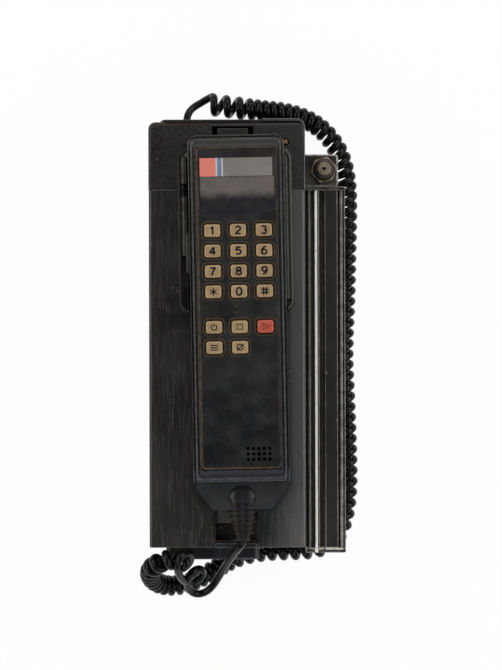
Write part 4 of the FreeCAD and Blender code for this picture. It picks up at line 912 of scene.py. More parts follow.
class Finishes(Enum):
    """Every finish of the telephone."""

    CAP = CapFinish("pebbled_cap", 9, 14, 25.0, (0.38, 0.54), grain_scale=1350.0,
                    grain_depth=0.12, grain_tone=0.3, grain_from=0.6, dust_share=0.03, speck_share=0.02,
                    scratch_share=0.3, speck=(110, 106, 98), specular=0.34)
    # The rim's even worn colour is edge wear and also the painted highlight line along the cap's edge.
    RIM = Finish("cap_rim", 12, 18, 60.0, (0.32, 0.46), grain_depth=0.02, dust_share=0.08,
                 worn=(98, 97, 94), worn_share=0.75, worn_even=0.8, dirt=(78, 60, 40), dirt_share=0.7)
    COVER = CoverFinish("brushed_cover", 18, 24, 14.0, (0.36, 0.5), grain="brushed",
                        grain_scale=1500.0, grain_depth=0.02, dust_share=0.06, speck_share=0.02,
                        scratch_share=0.4, worn=(98, 96, 94))
    SHELL = Finish("case_shell", 20, 27, 30.0, dust_share=0.08)
    PLATE = Finish("black_plate", 6, (10, 10, 9), 40.0, (0.3, 0.45), grain_depth=0.01,
                   dust=(90, 72, 54), dust_share=0.06, worn=(70, 66, 60), worn_share=0.4, specular=0.3)
    # The bumper finish's bluish worn colour lays a painted highlight on the edges of the bumper, the
    # channel's lip and the cushion clip.
    BUMPER = Finish("bumper_rubber", (20, 20, 22), (28, 28, 31), 40.0, (0.4, 0.58), grain_scale=2200.0,
                    grain_depth=0.02, dust_share=0.08, worn=(88, 90, 100))
    RUBBER = Finish("plain_rubber", 15, 22, 60.0, (0.5, 0.65), grain_depth=0.02)
    # The frame's near-white worn colour is edge wear and also painted highlights on its lip and ridge.
    FRAME = FrameFinish("handset_frame", (8, 8, 9), (13, 13, 14), 40.0, (0.36, 0.52), grain_scale=1350.0,
                        grain_depth=0.12, grain_tone=0.4, grain_from=0.62, grain_colour=(70, 71, 75),
                        dust_share=0.02, worn=(202, 203, 195), worn_share=0.8, dirt=(40, 32, 22),
                        dirt_share=0.5, specular=0.36)
    HANDSET = Finish("handset_shell", (23, 24, 27), (28, 29, 32), 40.0, (0.4, 0.56), grain_scale=1600.0,
                     grain_depth=0.05, grain_tone=0.1, dust_share=0.04, worn=(118, 120, 128),
                     worn_share=0.6, worn_even=0.75)
    FACE = FaceFinish("face_panel", 26, 20, 50.0, (0.32, 0.5), grain_scale=2600.0,
                      grain_depth=0.008, dust=(104, 98, 92), dust_share=0.065, speck_share=0.02,
                      speck=(96, 92, 86))
    # A near-black finish for discs and rings that stand for the shade inside holes and recesses: painted
    # shade.
    HOLE = Finish("painted_hole_shade", 0, 2, 90.0, (0.9, 1.0), grain_depth=0.0, specular=0.0)
    LABEL = LabelFinish("label_strip", (118, 112, 106), (124, 119, 113), 90.0, (0.35, 0.5),
                        grain_scale=2600.0, grain_depth=0.004)
    LENS = LensFinish("display_lens", (90, 85, 80), (100, 93, 88), 90.0, (0.2, 0.4), grain_scale=900.0,
                      grain_depth=0.002, speck_share=0.04, speck=(60, 54, 50))
    TAN = KeyFinish("tan_key", (160, 134, 98), (148, 122, 88), 120.0, (0.42, 0.55), grain_scale=3000.0,
                    grain_depth=0.004, worn=(178, 154, 116), worn_share=0.6, dirt=(84, 64, 40))
    RED = KeyFinish("red_key", (184, 84, 62), (172, 74, 54), 120.0, (0.42, 0.55), grain_scale=3000.0,
                    grain_depth=0.004, worn=(206, 112, 90), worn_share=0.4, dirt=(96, 40, 28))
    BEZEL = Finish("key_bezel", (46, 35, 21), (58, 44, 27), 300.0, (0.5, 0.7), grain_depth=0.02,
                   worn=(76, 62, 44), worn_share=0.4, dirt=(44, 31, 16))
    INK = Finish("key_ink", (14, 18, 30), (22, 25, 36), 400.0, (0.7, 0.8), grain_depth=0.0, specular=0.2)
    CORD = Finish("cord_rubber", (6, 6, 7), 9, 90.0, (0.25, 0.32), grain_scale=2600.0,
                  grain_depth=0.004, dust=(96, 88, 76), dust_share=0.01, specular=0.22)
    # The boot's bluish worn colour is the painted highlight along the top of its tail.
    BOOT = Finish("boot_rubber", (24, 25, 27), (30, 30, 33), 90.0, (0.34, 0.46), grain_depth=0.01,
                  dirt=(52, 42, 22), dirt_share=0.9, worn=(58, 62, 80), worn_share=0.25, worn_even=0.6,
                  specular=0.3)
    TUB = TubFinish("tub_plastic", 26, 33, 40.0, (0.36, 0.52), grain_depth=0.02,
                    dust_share=0.08, worn=(104, 102, 98), worn_share=0.6)
    PAD = TubFinish("pad_rubber", (58, 57, 51), (74, 72, 65), 150.0, (0.5, 0.65),
                    dust=(118, 112, 92), dust_share=0.35, worn=(120, 118, 106))
    WELL = Finish("dark_well", (11, 11, 10), (19, 18, 16), 60.0, (0.45, 0.6), grain_depth=0.05,
                  dust=(60, 46, 34), dust_share=0.12, speck_share=0.9, speck=(170, 168, 160),
                  worn=(116, 100, 78), worn_share=0.75, specular=0.2)
    LEDGE = Finish("channel_ledge", (46, 45, 43), (62, 59, 55), 90.0, (0.45, 0.6), grain_scale=900.0,
                   grain_depth=0.1, grain_tone=0.3, dust_share=0.1, worn=(110, 88, 62), worn_share=0.8)
    BRACKET = Finish("bracket_metal", (62, 60, 57), (28, 22, 15), 90.0, (0.4, 0.6), grain_scale=2000.0,
                     dust=(96, 70, 46), dust_share=0.45, speck_share=0.05,
                     worn=(176, 172, 162), worn_share=0.85, metallic=0.15)
    NUT = Finish("tarnished_nut", (60, 51, 40), (42, 35, 26), 260.0, (0.4, 0.55), grain_scale=2600.0,
                 dust=(84, 66, 44), dust_share=0.5, worn=(172, 156, 132),
                 worn_share=0.8, metallic=0.3)
    JACK = Finish("tarnished_jack", (120, 104, 82), (84, 70, 54), 300.0, (0.4, 0.6), dust=(60, 48, 34),
                  dust_share=0.5, worn=(176, 162, 136), dirt=(40, 32, 22), metallic=0.3)
    THREAD = Finish("jack_thread", (30, 26, 20), (52, 46, 36), 500.0, (0.4, 0.6), grain_depth=0.05,
                    dust=(120, 106, 84), dust_share=0.4, worn=(110, 98, 78), worn_share=0.6, metallic=0.3)
    INSULATOR = Finish("jack_insulator", (136, 124, 102), (112, 98, 78), 400.0, (0.5, 0.65),
                       grain_depth=0.02, dust=(84, 70, 52), dust_share=0.4)
    GOLD = Finish("gold_contact", (176, 138, 76), (124, 96, 54), 400.0, (0.3, 0.45), grain_depth=0.0,
                  metallic=0.8)
    SCREW = Finish("rusty_screw", (150, 92, 40), (98, 58, 26), 500.0, (0.55, 0.75), grain_depth=0.06,
                   dust=(176, 116, 58), dust_share=0.5, metallic=0.1)
    CELLS = Finish("cell_wrap", (44, 70, 96), (52, 78, 104), 80.0, (0.4, 0.5), grain_depth=0.0)
    BOARD = Finish("circuit_board", (24, 58, 40), (32, 68, 46), 120.0, (0.35, 0.5), grain_depth=0.004)
    CAN = Finish("tin_can", 150, 128, 80.0, (0.3, 0.45), grain_depth=0.0, metallic=0.9)
    BLOCK = Finish("amplifier_block", 50, 60, 80.0, (0.4, 0.5), grain_depth=0.0)
    SOCKET = Finish("socket_plastic", 18, 24, 80.0, (0.4, 0.5), grain_depth=0.01)
    # The rail's pale worn colour is edge wear and also painted highlights on its rounded bars.
    RAIL = RailFinish("anodised_rail", 21, 27, 60.0, (0.45, 0.51), grain_scale=2200.0,
                      dust=(92, 78, 62), dust_share=0.05, speck_share=0.05, speck=(170, 150, 120),
                      worn=(158, 154, 148), worn_share=0.75, worn_even=0.45, dirt=(34, 26, 18))


# ---------------------------------------------------------------- building tools

@dataclass
class Workshop:
    """Dresses pieces and sets them on the frame's bodies."""

    nodes: dict[str, Piece]

    def settle(self, piece: Piece, finish: Finishes, body: str, slot: str, *replaced: str) -> None:
        """Give a piece its finish and body, and let it stand for its nodes."""
        piece.data.materials.clear()
        piece.data.materials.append(finish.value.material())
        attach(piece, body)
        if replaced:
            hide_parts(*replaced)
        LOG.info("%s rides on %s", piece.name, body)

    def soften(self, node: str, finish: Finishes, slot: str, width: float, segments: int = 2,
               body: str = "case") -> None:
        """Replace a node by its own shape with rounded edges."""
        piece = softened(self.nodes[node], f"{node}_rounded", width, segments)
        self.settle(piece, finish, body, slot, node)

    def paint(self, finish: Finishes, *nodes: str) -> None:
        """Give nodes that stay a better finish."""
        for node in nodes:
            for holder in self.nodes[node].material_slots:
                holder.material = finish.value.material()
            LOG.info("%s keeps its solid", node)


# ---------------------------------------------------------------- case

@dataclass
class Case:
    """The flat housing with its plate, bumper, latch tab and screw."""

    shop: Workshop
    screw_at: Pair = (22.7, 117.7)
    screw_radius: float = 1.45

    def build(self) -> None:
        """Build each piece of the case."""
        shop = self.shop
        for node, finish, slot, width in (
                ("top_cap", Finishes.CAP, "pebbled_plastic", 0.45),
                ("front_cover", Finishes.COVER, "grained_cover", 0.45),
                ("rear_shell", Finishes.SHELL, "case_plastic", 0.45),
                ("top_plate", Finishes.PLATE, "black_plate", 0.3)):
            shop.soften(node, finish, slot, width)
        shop.soften("base_bumper", Finishes.BUMPER, "bumper_rubber", 1.2, 3)
        shop.soften("release_tab", Finishes.CAP, "pebbled_plastic", 0.3, body="tab")
        for piece, finish, slot, *stood_for in (
                (self.rim(), Finishes.RIM, "pebbled_plastic"),
                (self.plate(), Finishes.PLATE, "black_plate"),
                (self.seam(), Finishes.BEZEL, "pebbled_plastic"),
                (self.screw(), Finishes.SCREW, "rusty_steel", "cap_screw"),
                (self.screw_well(), Finishes.HOLE, "pebbled_plastic")):
            shop.settle(piece, finish, "case", slot, *stood_for)
        shop.soften("rubber_feet", Finishes.RUBBER, "rubber", 0.3)
        shop.soften("cord_channel", Finishes.WELL, "channel_plastic", 0.3)
        shop.settle(self.lip(), Finishes.BUMPER, "case", "channel_plastic")
        shop.settle(self.ledge(), Finishes.LEDGE, "case", "channel_plastic")
        shop.soften("power_socket", Finishes.SOCKET, "socket_plastic", 0.2)
        shop.paint(Finishes.CELLS, "battery_cells")
        shop.paint(Finishes.BOARD, "transceiver_board")
        shop.paint(Finishes.CAN, "shield_can")
        shop.paint(Finishes.BLOCK, "power_amplifier")

    def rim(self) -> Piece:
        """Carry a raised edge along the cap's right side and top, and a low one round its left."""
        # The worn edges of both profiles also lay the painted highlight line of the cap's edge.
        tall = [(-1.6, 50.0), (0.0, 50.0), (0.0, 58.25, 0.8), (-1.35, 58.25, 0.35), (-1.6, 57.7)]
        low = [(-0.6, 50.0), (0.1, 50.0), (0.1, 58.1, 0.9), (-1.2, 58.1, 0.3), (-1.4, 57.7)]
        pile = Pile().sweep([(34.3, 89.7), (34.3, 131.6, 4.8), (9.0, 131.6)], tall)
        pile.sweep([(-48.5, 129.5), (-58.15, 129.5, 4.2), (-58.15, 89.7)], low)
        return pile.build("cap_rim")

    def lip(self) -> Piece:
        """Round the bar that closes the recess for the cord's boot."""
        corners = [(-0.5, 55.0), (0.0, 55.0), (0.0, 58.15, 0.7), (-1.3, 58.3, 0.3)]
        # The lip's rounded top takes the bumper's bluish worn colour as a painted highlight.
        return Pile().carry(Plan(12.6, -121.9, -118.8, 1.3, -7.2), corners).build("channel_lip")

    def ledge(self) -> Piece:
        """Raise the upper end of the recess's floor to a shallow step."""
        corners = [(0.0, 49.0), (0.0, 56.15, 0.45), (-1.0, 56.15)]
        return Pile().carry(Plan(12.3, -107.2, -98.6, 0.5, -7.5), corners).build("channel_step")

    def plate(self) -> Piece:
        """Carry the plate's upper edge along the case's top end."""
        corners = [(-1.9, 33.0), (0.0, 33.0), (0.0, 57.6, 0.5), (-1.9, 57.9, 0.2)]
        route = [(9.0, 131.1), (-49.0, 131.1, 2.0), (-51.0, 130.0)]
        return Pile().sweep(route, corners).build("plate_edge")

    def seam(self) -> Piece:
        """Lay the line of brown dirt that has settled in the seam above the cap."""
        corners = [(-0.55, 57.8), (0.0, 57.8), (0.0, 58.07, 0.05), (-0.55, 58.07, 0.05)]
        route = [(-22.0, 128.8), (-52.0, 128.1), (-56.6, 126.4)]
        return Pile().sweep(route, corners).build("seam_dirt")

    def screw(self) -> Piece:
        """Turn the screw's head as a low dome with a small flat, with nothing cut into it."""
        corners = [(-0.3, 50.0), (0.0, 50.0), (0.0, 58.35, 0.4), (-1.0, 58.6)]
        plan = Plan.disc(*self.screw_at, self.screw_radius)
        return Pile().carry(plan, corners, False, 4, 6).build("cap_screw_head")

    def screw_well(self) -> Piece:
        """Lay a dark ring round the screw: painted shade for its recess."""
        corners = [(0.0, 57.9), (0.75, 57.9), (0.75, 58.03), (0.0, 58.03)]
        plan = Plan.disc(*self.screw_at, self.screw_radius)
        return Pile().carry(plan, corners, True, 2, 6).build("screw_well")


# ---------------------------------------------------------------- heat sink

@dataclass
class HeatSink:
    """The grooved rail on the right, its end plate, and the bracket with the antenna jack."""

    shop: Workshop
    low: float = -125.7
    high: float = 89.65
    left: float = 34.25
    right: float = 58.15
    base: float = 14.5
    top: float = 50.0
    foot: float = 2.8
    jack_at: Pair = (45.5, 101.7)
    nut_half: float = 6.95
    nut_turn: float = 13.0

    def build(self) -> None:
        """Build the rail and what is fixed to it."""
        shop = self.shop
        shop.settle(self.rail(), Finishes.RAIL, "case", "anodised_rail", "heatsink_rail")
        shop.soften("rail_end_plate", Finishes.BRACKET, "worn_plate", 0.3)
        shop.settle(self.bracket(), Finishes.BRACKET, "case", "bracket_metal", "antenna_bracket")
        shop.settle(self.nut(), Finishes.NUT, "case", "tarnished_nut", "jack_nut")
        barrel = [(-2.0, 36.0), (-1.2, 36.0), (-1.2, 50.0), (0.0, 50.4), (0.0, 54.0, 0.3), (-0.5, 54.2),
                  (-0.5, 55.2), (0.0, 55.4), (-0.1, 57.0, 0.5), (-1.5, 58.2, 0.3), (-2.4, 58.2)]
        crown = [(-1.0, 57.0), (0.2, 57.0), (0.0, 59.9, 0.5), (-0.9, 60.4, 0.3), (-1.0, 59.4)]
        filling = [(-1.2, 50.5), (0.0, 50.5), (0.0, 60.0, 0.3), (-1.6, 60.15, 0.2), (-1.75, 58.5)]
        sleeve = [(-0.3, 52.0), (0.0, 52.0), (0.0, 60.3), (-0.3, 60.3)]
        # The hole is a dark disc just under the sleeve's rim: painted shade in the contact's bore.
        hole = [(-0.2, 52.0), (0.0, 52.0), (0.0, 60.05), (-0.2, 60.05)]
        for name, radius, corners, finish, slot, *stood_for in (
                ("barrel", 5.55, barrel, Finishes.THREAD, "tarnished_brass", "jack_shell"),
                ("crown", 3.75, crown, Finishes.JACK, "tarnished_brass"),
                ("filling", 2.8, filling, Finishes.INSULATOR, "insulator", "jack_insulator"),
                ("sleeve", 1.05, sleeve, Finishes.GOLD, "gold_contact", "jack_contact"),
                ("hole", 0.8, hole, Finishes.HOLE, "gold_contact")):
            turned = Pile().carry(Plan.disc(*self.jack_at, radius), corners, name != "hole", 3, 10)
            shop.settle(turned.build(f"jack_{name}"), finish, "case", slot, *stood_for)

    def bracket(self) -> Piece:
        """Carry the bracket's plate, with round corners and worn edges, and its left end in the case."""
        corners = [(0.0, 36.0), (0.0, 50.0, 1.15), (-2.0, 50.05)]
        plan = Plan(10.925, 91.75, 111.05, 2.0, 43.175)
        return Pile().carry(plan, corners, False, 4, 8).build("jack_bracket")

    def nut(self) -> Piece:
        """Loft the nut: a hexagon that a cone cuts back at the top, round a bore.

        A ring's reach at an angle is the smaller of its own limit and the hexagon's reach there,
        which is the half width over the cosine of the angle from the nearest flat's middle.
        """
        angle = np.linspace(0, FULL_TURN, 96, endpoint=False)
        turned = (np.degrees(angle) - self.nut_turn) % 60 - 30
        hexagon = self.nut_half / np.cos(np.radians(turned))
        level, limit, worn = np.array([
            (50.0, 20.0, 0.0), (51.5, 20.0, 0.1), (52.0, 7.75, 0.9), (52.6, 7.0, 1.0), (52.6, 6.3, 0.7),
            (51.9, 5.9, 0.0), (50.0, 5.7, 0.0),
        ]).T[..., None]
        reach = np.minimum(hexagon, limit)
        x, y = self.jack_at
        pile = Pile().loft(x + reach * np.cos(angle), y + reach * np.sin(angle), level, (True, True), worn)
        return pile.build("jack_nut_worn", smooth_angle=20.0)

    def rail(self) -> Piece:
        """Carry the grooved section along Y, closed by flat ends."""
        left, top = self.left, self.top
        corners = [
            (left, self.base), (self.right, self.base, 0.6), (self.right, top - 0.3, 0.35),
            (57.45, top - 0.3, 0.2), (57.4, 47.4, 0.2), (56.75, 47.4, 0.2), (56.7, top, 0.85),
            (54.95, top, 0.85), (54.9, 46.8, 0.3), (53.7, 46.8, 0.3), (53.65, top, 0.3), (46.0, top, 0.3),
            (45.9, 47.0, 0.4), (42.8, 46.8, 0.3), (42.7, top - 0.7, 0.25), (41.7, top - 0.7, 0.1),
            (41.6, top, 0.2), (39.95, top, 0.3), (39.85, 47.4, 0.3), (37.45, 47.8, 0.3),
            (37.4, top - 0.8, 0.2), (36.3, top - 0.8, 0.2), (36.2, 46.7), (left, 46.7),
        ]
        profile, worn, dirt = fillet_profile(corners, True, 3, 0.3)
        ends = np.array([[self.low + self.foot], [self.high]])
        pile = Pile().loft(profile[:, 0], ends, profile[:, 1], (False, True), worn, dirt)
        plan = Plan((self.right - left) / 2, self.low, self.low + self.foot, 1.0, (self.right + left) / 2)
        pile.carry(plan, [(-0.6, self.base), (0.0, self.base + 0.6, 0.5), (0.0, top - 0.1, 0.7),
                          (-1.2, top - 0.1)])
        return pile.build("heat_sink")


# ---------------------------------------------------------------- cradle

@dataclass
class Cradle:
    """The raised tub that holds the handset, with its cushions."""

    shop: Workshop
    inner: Triple = (-32.9, 30.9, 111.7)
    bend: float = 5.7

    def build(self) -> None:
        """Build the tub and the cushions."""
        shop = self.shop
        shop.soften("cradle_tub", Finishes.TUB, "tub_plastic", 0.4)
        left, right, top = self.inner
        outer = [(-3.9, 46.0), (-0.05, 46.0), (-0.05, 70.9, 0.5), (-1.6, 71.9, 0.8), (-3.9, 70.6, 0.9)]
        low = [(-3.9, 46.0), (-0.05, 46.0), (-0.05, 66.0, 0.5), (-3.9, 65.0, 0.9)]
        thin = [(-3.0, 46.0), (-0.2, 46.0), (-0.2, 70.0, 0.5), (-3.0, 70.0)]
        # The clip's top edges take the bumper's bluish worn colour as a painted highlight.
        clip = [(-3.9, 46.0), (-0.1, 46.0), (-0.1, 70.4, 0.7), (-1.7, 71.2, 0.8), (-2.9, 69.5),
                (-3.9, 69.0)]
        upper_left = [(left + 5.9, top), (left, top, self.bend), (left, 92.8)]
        upper_right = [(right, 24.5), (right, top, self.bend), (right - 4.4, top)]
        left_runs = ((upper_left, outer), ([(left, 85.0), (left, 50.5)], outer),
                     ([(left, 48.9), (left, 19.0)], low))
        right_runs = ((upper_right, outer), ([(right - 0.6, 20.6), (right, 24.3)], thin))
        clip_runs = (([(left, 92.5), (left, 85.3)], clip),)
        for name, finish, runs, *stood_for in (
                ("left", Finishes.PAD, left_runs, "cradle_pad_left"),
                ("clip", Finishes.BUMPER, clip_runs),
                ("right", Finishes.PAD, right_runs, "cradle_pad_right")):
            pile = Pile()
            for route, corners in runs:
                pile.sweep(route, corners)
            cushion = pile.build(f"cushion_{name}", CRADLE_SEAT)
            shop.settle(cushion, finish, "case", "pad_rubber", *stood_for)
        shop.soften("handset_rest_pads", Finishes.RUBBER, "pad_rubber", 0.4)


# ---------------------------------------------------------------- handset

KEY_NAMES = tuple(f"key_{sign}" for sign in (*"123456789", "star", "0", "hash", "power", "end", "send",
                                             "function", "mute"))


@dataclass
class Handset:
    """The handset: frame, face, display, keys, rocker, shell and the cord's boot."""

    shop: Workshop
    half: float = 27.9
    low: float = -81.0
    high: float = 119.7
    face_level: float = 84.2
    key_pitch: Pair = (14.85, 11.75)
    key_block_step: float = 20.45
    key_first: float = 64.2
    key_shift: float = 0.5
    key_half: Pair = (4.75, 3.75)
    key_radius: float = 1.5
    key_top: float = 86.02

    def build(self) -> None:
        """Build each piece of the handset."""
        shop = self.shop
        shop.settle(self.frame(), Finishes.FRAME, "handset", "handset_plastic", "handset_frame")
        shop.soften("handset_shell", Finishes.HANDSET, "handset_plastic", 1.0, 3, "handset")
        shop.settle(self.bezels(), Finishes.BEZEL, "handset", "face_black")
        shop.settle(self.holes(), Finishes.HOLE, "handset", "face_black")
        shop.settle(self.collar(), Finishes.HANDSET, "handset", "handset_plastic")
        for name, place in zip(KEY_NAMES, self.key_places()):
            self.key(name, *place)
        shop.settle(self.rocker(), Finishes.FRAME, "rocker", "rocker_plastic", "volume_rocker")
        shop.settle(self.boot(), Finishes.BOOT, "handset", "boot_rubber", "cord_boot")
        shop.paint(Finishes.FACE, "face_panel")
        shop.paint(Finishes.LABEL, "label_strip")
        shop.paint(Finishes.LENS, "display_lens")
        shop.paint(Finishes.SOCKET, "display_module", "earpiece", "microphone")
        shop.paint(Finishes.RUBBER, "key_mat")
        shop.paint(Finishes.BOARD, "handset_board")
        shop.paint(Finishes.SCREW, "handset_screws")

    def key_places(self) -> list[Pair]:
        """Work out the middle of each key, in the order of the key names."""
        places = []
        for index in range(len(KEY_NAMES)):
            row, column = divmod(index, 3)
            drop = self.key_pitch[1] * min(row, 3)
            if row > 3:
                drop += self.key_block_step + self.key_pitch[1] * (row - 4)
            places.append((self.key_shift + self.key_pitch[0] * (column - 1), self.key_first - drop))
        return places

    def frame(self) -> Piece:
        """Carry the lip round the sides and the top, and the body with its ridge and slope inside it.

        Only the body's outer part wears, and most in its middle; the bright wear also stands for painted
        highlights.
        """
        lip = [(-1.4, 73.6), (0.0, 73.6, 0.3), (0.0, 80.9, 0.6), (-0.95, 80.9, 0.4), (-1.05, 79.0)]
        pile = Pile().carry(Plan(self.half, self.low - 0.2, self.high, 5.6), lip, True, 4, 10, True)
        pile.worn[-1] *= 0.05
        plan = Plan(self.half, self.low, self.high, 5.2, low_radius=3.2,
                    low_moves=((-60.0, -62.5), (-4.95, -7.3), (-2.75, -2.0), (-1.45, 0.0), (9.0, 9.0)),
                    high_moves=((-60.0, -62.25), (-4.95, -7.2), (-1.45, -1.45), (9.0, 9.0)))
        body = [(-2.6, 73.6), (-1.45, 73.6), (-1.45, 80.75, 0.45), (-2.65, 81.5, 0.3), (-3.3, 81.0, 0.2),
                (-4.3, 83.4, 0.5), (-4.75, 84.05, 0.3), (-4.95, 82.4), (-5.2, 80.8), (-2.6, 80.0)]
        pile.carry(plan, body, True, 4, 10)
        x, y, _ = pile.points[-1].T
        outer = (np.abs(x) > 24.2) | (y < -79.0)
        rubbed = np.interp(y, (-70.0, -57.0, -38.0, 50.0, 92.0), (0.12, 0.35, 1.0, 1.0, 0.12))
        pile.worn[-1] *= outer * rubbed
        floor = [(-2.6, 74.0), (-0.6, 74.0), (-0.6, 78.6), (-2.6, 78.6)]
        pile.carry(Plan(self.half, self.low, self.high, 5.6), floor, True, 2, 8)
        return pile.build("handset_front", CRADLE_SEAT)

    def holes(self) -> Piece:
        """Close each hole over the microphone with a black disc: painted shade in the hole."""
        pile = Pile()
        pitch_x, pitch_y, (middle_x, middle_y) = 3.13, 3.1, (10.2, -64.9)
        for row in (-1, 0, 1):
            for column in (-2, -1, 0, 1, 2):
                plan = Plan.disc(middle_x + pitch_x * column, middle_y + pitch_y * row, 1.0)
                pile.carry(plan, [(0.0, 83.6), (0.0, 84.24), (-0.3, 84.24)], False, 2, 4)
        return pile.build("speaking_holes", CRADLE_SEAT)

    def collar(self) -> Piece:
        """Lay the plate that the boot's dome sits in, over the shell's opening."""
        plan = Plan(8.6, -97.5, -83.6, 3.0)
        corners = [(-1.0, 72.4), (0.0, 72.4), (0.0, 73.63, 0.02), (-1.0, 73.63)]
        pile = Pile().carry(plan, corners, False, 3, 6)
        pile.worn[-1] *= 0.0
        return pile.build("boot_collar", CRADLE_SEAT)

    def bezels(self) -> Piece:
        """Raise a soft-edged rim on the face round each key."""
        level = self.face_level
        corners = [(1.75, level - 0.1), (1.6, level + 0.4, 0.3), (1.15, level + 0.45, 0.2),
                   (0.4, level - 0.1, 0.1), (0.4, level - 0.9)]
        pile = Pile()
        for x, y in self.key_places():
            pile.carry(self.key_plan(x, y), corners, True, 3, 6)
        return pile.build("key_bezels", CRADLE_SEAT)

    def key_plan(self, x: float, y: float) -> Plan:
        """Return the outline of a key's top about its middle."""
        across, along = self.key_half
        return Plan(across, y - along, y + along, self.key_radius, x)

    def key(self, name: str, x: float, y: float) -> None:
        """Build one key cap with its flange, and print its mark."""
        top, body = self.key_top, f"{name}_body"
        corners = [(-0.2, 80.35), (0.7, 80.35), (0.7, 81.05), (0.0, 81.1), (-0.12, top, 0.75), (-2.6, top)]
        cap = Pile().carry(self.key_plan(x, y), corners, False, 4, 6).build(f"{name}_cap", CRADLE_SEAT)
        finish, slot = (Finishes.RED, "red_key") if name == "key_send" else (Finishes.TAN, "tan_key")
        self.shop.settle(cap, finish, body, slot, name)
        self.shop.settle(KeyMark(x, y, top).draw(name), Finishes.INK, body, slot)

    def rocker(self) -> Piece:
        """Loft the rocker's bulge: an outline that narrows outwards, with rounded edges."""
        middle, root = 51.9, -25.5
        corners = [(0.0, 0.0), (0.0, 2.4), (-1.9, 4.4, 0.8), (-3.4, 4.4)]
        profile, worn, dirt = fillet_profile(corners, False)
        narrowing = (EVEN[0], (-3.4, -0.9), (0.0, 0.0))
        plan = Plan(12.2, 75.8, 79.8, 0.8, low_moves=narrowing, high_moves=narrowing)
        outlines = plan.outlines(profile[:, 0], 4)
        pile = Pile().loft(root - profile[:, 1:], middle - outlines[..., 0], outlines[..., 1],
                           (False, True), worn[:, None] * 0.25, dirt[:, None])
        return pile.build("rocker_cap", CRADLE_SEAT)

    def boot(self) -> Piece:
        """Loft the boot's dome and tail, and sink slots into both sides of the tail.

        A point lies on a squarish oval about the axis, whose half width and half height follow the
        place along Y, less the slot's depth where that place is in a slot and the angle on a flank.
        """
        axis, start, stop, dome_length = 67.5, -82.4, -116.3, 8.7
        slots, first_slot, pitch, slot_width, slot_height = 7, 93.2, 3.13, 0.8, 1.4
        bend = np.linspace(0, math.pi / 2, 16)
        y = np.concatenate([start - 3.0 * (1 - np.cos(bend)), np.linspace(start - 3.2, stop, 200)])
        y = y[:, None]
        grown = np.clip(start - y, 0, dome_length) / dome_length
        dome = np.sqrt(np.clip(1 - (grown - 1) ** 2, 0.0004, 1))
        width = np.interp(-y, (91.0, 93.4, 96.6, 99.7, 102.9, 106.0, 109.1, 112.3, 116.3),
                          (9.8, 8.9, 8.3, 7.8, 7.3, 6.7, 6.0, 5.2, 3.8)) * dome
        height = np.interp(-y, (91.0, 95.0, 116.3), (8.7, 8.3, 3.8)) * dome ** 0.6
        phase = (-y - first_slot) / pitch
        inside = (phase > 0) & (phase < slots)
        angle = np.arange(96) / 96 * FULL_TURN
        cos, sin = np.cos(angle), np.sin(angle)
        flank = np.clip((np.abs(cos) - 0.07) / 0.06, 0, 1)
        sunk = np.where(inside, np.clip(0.7 - 2.4 * np.cos(phase * FULL_TURN), 0, 1), 0.0) * flank
        power = 2 / 2.7
        x = (width - slot_width * sunk) * np.sign(cos) * np.abs(cos) ** power
        z = axis + (height - slot_height * sunk) * np.sign(sin) * np.abs(sin) ** power
        # Painted highlight: a thin bluish line along the top of the tail, carried as the worn mark.
        painted_ridge_highlight = (np.abs(cos) < 0.04) * (y < -90)
        return Pile().loft(x, y, z, (False, True), painted_ridge_highlight, sunk).build("boot_ribbed", CRADLE_SEAT, 60.0)


